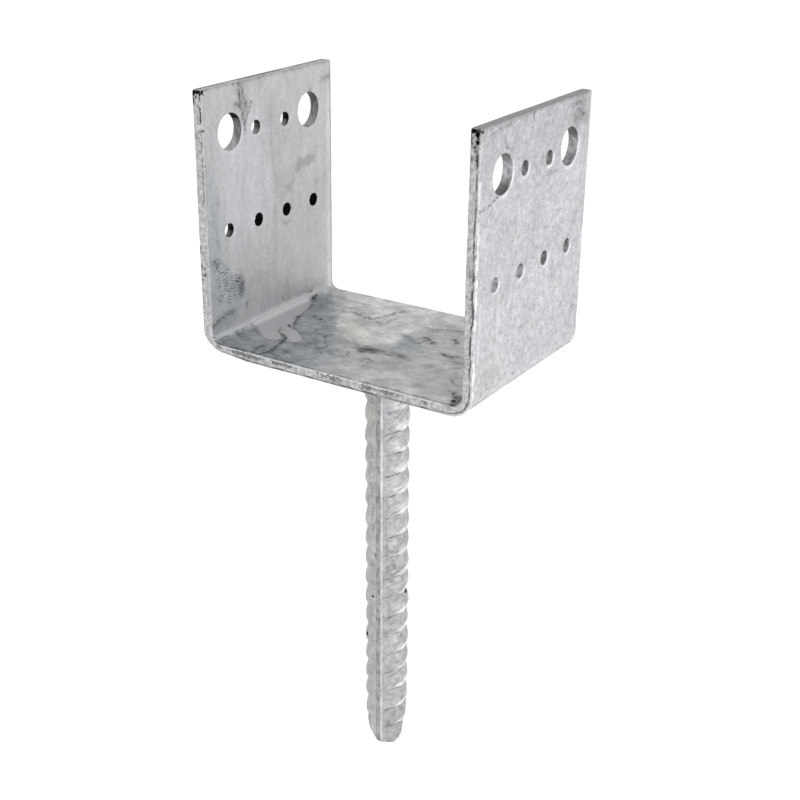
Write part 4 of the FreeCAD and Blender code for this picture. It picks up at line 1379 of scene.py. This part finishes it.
def zinc_material():
    """Return the hot-dip zinc: painted tones, streaks, mottling, veins, film, dark marks, and painted shade
    and highlights.
    """
    material = bpy.data.materials.new("hot_dip_zinc")
    material.use_nodes = True
    g = Graph(material.node_tree)
    shader = g.tree.nodes["Principled BSDF"]
    place = g.node("TexCoord", {}).outputs["Object"]
    spot = g.scaled(place, (1 / MM, 1 / MM, 1 / MM))
    base, _ = g.painted("zinc_colour")
    _, (spot_paint, shade_and_smudge_paint, vein_paint) = g.painted("zinc_marks_and_shading")
    _, (stroke_paint, strength_paint, dash_paint) = g.painted("zinc_strokes")
    _, (streak_paint, mottle_paint, finger_paint) = g.painted("zinc_grain")
    _, (film_paint, speck_paint, _) = g.painted("zinc_film")

    cloud = g.noise(spot, 0.075, 3)
    mottle = g.noise(spot, 0.55, 4, 0.62)
    grain = g.noise(spot, 1.4, 3, 0.65)
    bent = g.bent(spot, 0.05, 1, 2.5)
    streak = g.noise(g.shifted(g.scaled(spot, (0.3, 0.3, 0.025)), bent), 1.0, 4, 0.6)
    warp = g.bent(spot, 0.085, 3, 3.5)
    veined = g.shifted(g.scaled(spot, (0.06, 0.12, 0.12)), warp)
    vein_noise = g.noise(veined, 1.0, 5, 0.6)
    vein = g.ramp(g.math("ABSOLUTE", g.math("SUBTRACT", vein_noise, 0.5)), 0.0, 0.03, 1.0, 0.0)
    vein = g.times(vein, g.ramp(g.noise(veined, 0.8, 3), 0.42, 0.62))
    blotch = g.noise(veined, 2.2, 4, 0.6)

    tone = g.around_half(cloud, 0.10, 1.0)
    tone = g.plus(tone, g.around_half(mottle, g.times(mottle_paint, 0.85)))
    tone = g.plus(tone, g.around_half(streak, g.times(streak_paint, 0.40)))
    tone = g.plus(tone, g.around_half(grain, 0.42))
    tone = g.plus(tone, g.around_half(blotch, g.times(vein_paint, 0.9)))
    colour = g.brightened(base, tone)
    veins = g.times(g.times(vein, vein_paint), 0.62)
    colour = g.marked(veins, colour, vein_mark)

    ragged = g.around_half(g.noise(spot, 0.28, 3), 1.2)
    film_edge = g.plus(g.painted_distance(film_paint), ragged)
    film = g.ramp(film_edge, -0.1, 0.2)
    rim_line = g.ramp(g.math("ABSOLUTE", g.plus(film_edge, 0.3)), 0.0, 0.5, 1.0, 0.0)
    colour = g.marked(g.times(rim_line, 0.3), colour, film_rim)
    film_colour = g.brightened(seat_film_zinc, g.around_half(mottle, 0.12, 1.0))
    colour = g.mix(g.times(film, 0.9), colour, film_colour)

    centre = (0.0, -finger_centre[0], -finger_centre[1])
    curled = g.bent(spot, 0.20, 2, 3.6)
    inputs = {
        "Vector": g.shifted(g.shifted(spot, centre), curled), "Scale": math.pi / 10 / finger_pitch,
        "Distortion": 2.5, "Detail": 2.0,
    }
    rings = g.node("TexWave", inputs, wave_type="RINGS", rings_direction="X")
    finger = g.times(rings.outputs["Fac"], finger_paint)

    broken = g.around_half(mottle, 1.4, 1.0)
    shaded_and_smudged = g.times(g.math("MULTIPLY_ADD", shade_and_smudge_paint, 2.0, -1.0), broken)
    patched = g.ramp(g.noise(spot, 0.4, 4), 0.40, 0.60, 0.05, 0.7)
    shaded_and_smudged = g.plus(shaded_and_smudged, g.times(g.ramp(finger, 0.45, 0.9), patched))
    dashed = g.noise(g.shifted(g.scaled(spot, (0.5, 0.35, 1.5)), bent), 1.0, 3)
    dark_dash = g.times(g.ramp(dashed, 0.60, 0.72), 0.32)
    light_dash = g.times(g.ramp(dashed, 0.40, 0.28), 0.22)
    dashes = g.times(g.math("SUBTRACT", dark_dash, light_dash), dash_paint)
    shaded_and_smudged = g.plus(shaded_and_smudged, dashes)
    # dark smudges with painted shade, then pale marks with painted highlights
    colour = g.marked(g.times(shaded_and_smudged, 1.0, clamp=True), colour, smudge_and_shade_mark)
    colour = g.marked(g.times(shaded_and_smudged, -1.0, clamp=True), colour, white_mark_and_highlight)

    frayed = g.around_half(g.noise(spot, 0.7, 5, 0.65), 2.2)
    stroke_edge = g.plus(g.painted_distance(stroke_paint), frayed)
    stroke = g.math("MULTIPLY_ADD", g.ramp(stroke_edge, 1.5, -0.2), 0.3, g.ramp(stroke_edge, 0.35, -0.55))
    patchy = g.ramp(g.noise(spot, 0.9, 3), 0.34, 0.6, 0.35, 1.1)
    stroke = g.times(g.times(stroke, strength_paint), patchy, clamp=True)
    colour = g.marked(stroke, colour, stroke_mark)
    specks = g.math("MULTIPLY_ADD", speck_paint, 0.25, g.noise(spot, 1.0, 4, 0.65))
    specks = g.times(g.ramp(specks, 0.66, 0.76), 0.7)
    colour = g.marked(specks, colour, speck_mark)
    rough_border = g.around_half(g.noise(spot, 1.3, 3), 0.9)
    black = g.ramp(g.plus(g.painted_distance(spot_paint), rough_border), 0.15, -0.2)
    colour = g.marked(black, colour, black_mark)

    g.put(shader.inputs["Base Color"], colour)
    shader.inputs["Metallic"].default_value = 0.6
    rough = g.math("MULTIPLY_ADD", mottle, 0.25, 0.34)
    g.put(shader.inputs["Roughness"], g.math("MULTIPLY_ADD", black, 0.3, rough))
    g.put(shader.inputs["Specular IOR Level"], g.math("MULTIPLY_ADD", black, -0.45, 0.5))
    height = g.math("MULTIPLY_ADD", mottle, 1.2, g.times(grain, 0.6))
    height = g.math("MULTIPLY_ADD", finger, 1.5, height)
    bump = g.node("Bump", {"Distance": 0.06 * MM, "Strength": 1.0, "Height": height})
    g.put(shader.inputs["Normal"], bump.outputs["Normal"])
    return material


def plain_material(name, colour, roughness, glow):
    """Return the floor's plain material, which glows a little so that it reads as pure white."""
    material = bpy.data.materials.new(name)
    material.use_nodes = True
    shader = material.node_tree.nodes["Principled BSDF"]
    shader.inputs["Base Color"].default_value = (*colour, 1)
    shader.inputs["Roughness"].default_value = roughness
    shader.inputs["Emission Color"].default_value = (1, 1, 1, 1)
    shader.inputs["Emission Strength"].default_value = glow
    return material


zinc = zinc_material()
for build, node, finish_slot in (
    (build_bracket, "u_bracket", "galvanised_plate"),
    (build_bar, "ribbed_dowel", "galvanised_bar"),
    (build_weld, "fillet_weld", "galvanised_weld"),
):
    piece = build()
    piece.data.materials.append(zinc)
    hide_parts(node)
    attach(piece, "root")

# floor and light
floor_drop = 90.0
floor_mesh = bpy.data.meshes.new("floor")
floor_level = (bar_low[2] - floor_drop) * MM
floor_reach = 30.0
floor_corners = [(x, y, floor_level) for x, y in ((-1, -1), (1, -1), (1, 1), (-1, 1))]
floor_corners = [(x * floor_reach, y * floor_reach, z) for x, y, z in floor_corners]
floor_mesh.from_pydata(floor_corners, [], [(0, 1, 2, 3)])
floor = bpy.data.objects.new("floor", floor_mesh)
bpy.context.scene.collection.objects.link(floor)
floor_mesh.materials.append(plain_material("floor_white", (0.92, 0.92, 0.92), 0.9, 0.3))

sky_horizon = 1.02
sky_zenith = 0.78
world = bpy.data.worlds.new("studio")
world.use_nodes = True
background = world.node_tree.nodes["Background"]
background.inputs["Color"].default_value = (1, 1, 1, 1)
sky = Graph(world.node_tree)
sky_place = sky.node("TexCoord", {}).outputs["Generated"]
sky_height = sky.node("SeparateXYZ", {0: sky_place}).outputs["Z"]
sky.put(background.inputs["Strength"], sky.ramp(sky_height, 0.0, 0.9, sky_horizon, sky_zenith))
bpy.context.scene.world = world


def soft_box(name, place, size, power):
    """Add a square area light, placed and sized in metres, that faces the middle of the object."""
    lamp = bpy.data.lights.new(name, "AREA")
    lamp.size = size
    lamp.energy = power
    thing = bpy.data.objects.new(name, lamp)
    thing.location = place
    aim = Vector((0, 0, -0.03)) - Vector(place)
    thing.rotation_euler = aim.to_track_quat("-Z", "Y").to_euler()
    bpy.context.scene.collection.objects.link(thing)


soft_box("key", (1.2, -0.6, 0.4), 0.9, 6)
soft_box("low_right", (1.0, -0.2, -0.6), 0.4, 3)

camera_data = bpy.data.cameras.new("camera")
camera = bpy.data.objects.new("camera", camera_data)
camera_data.sensor_width = sensor_width
camera_data.lens = camera_focus_px * sensor_width / frame_px
camera_data.shift_x = (frame_px / 2 - camera_centre_px) / frame_px
camera_right = Vector((math.cos(camera_heading), math.sin(camera_heading), 0))
camera_look = Vector((
    -math.sin(camera_heading) * math.cos(camera_drop),
    math.cos(camera_heading) * math.cos(camera_drop),
    -math.sin(camera_drop),
))
camera_up = camera_right.cross(camera_look)
turn = Matrix((camera_right, camera_up, -camera_look)).transposed()
camera.matrix_world = Matrix.Translation(Vector(camera_place) * MM) @ turn.to_4x4()
bpy.context.scene.collection.objects.link(camera)
bpy.context.scene.camera = camera
bpy.context.scene.view_settings.view_transform = "Standard"
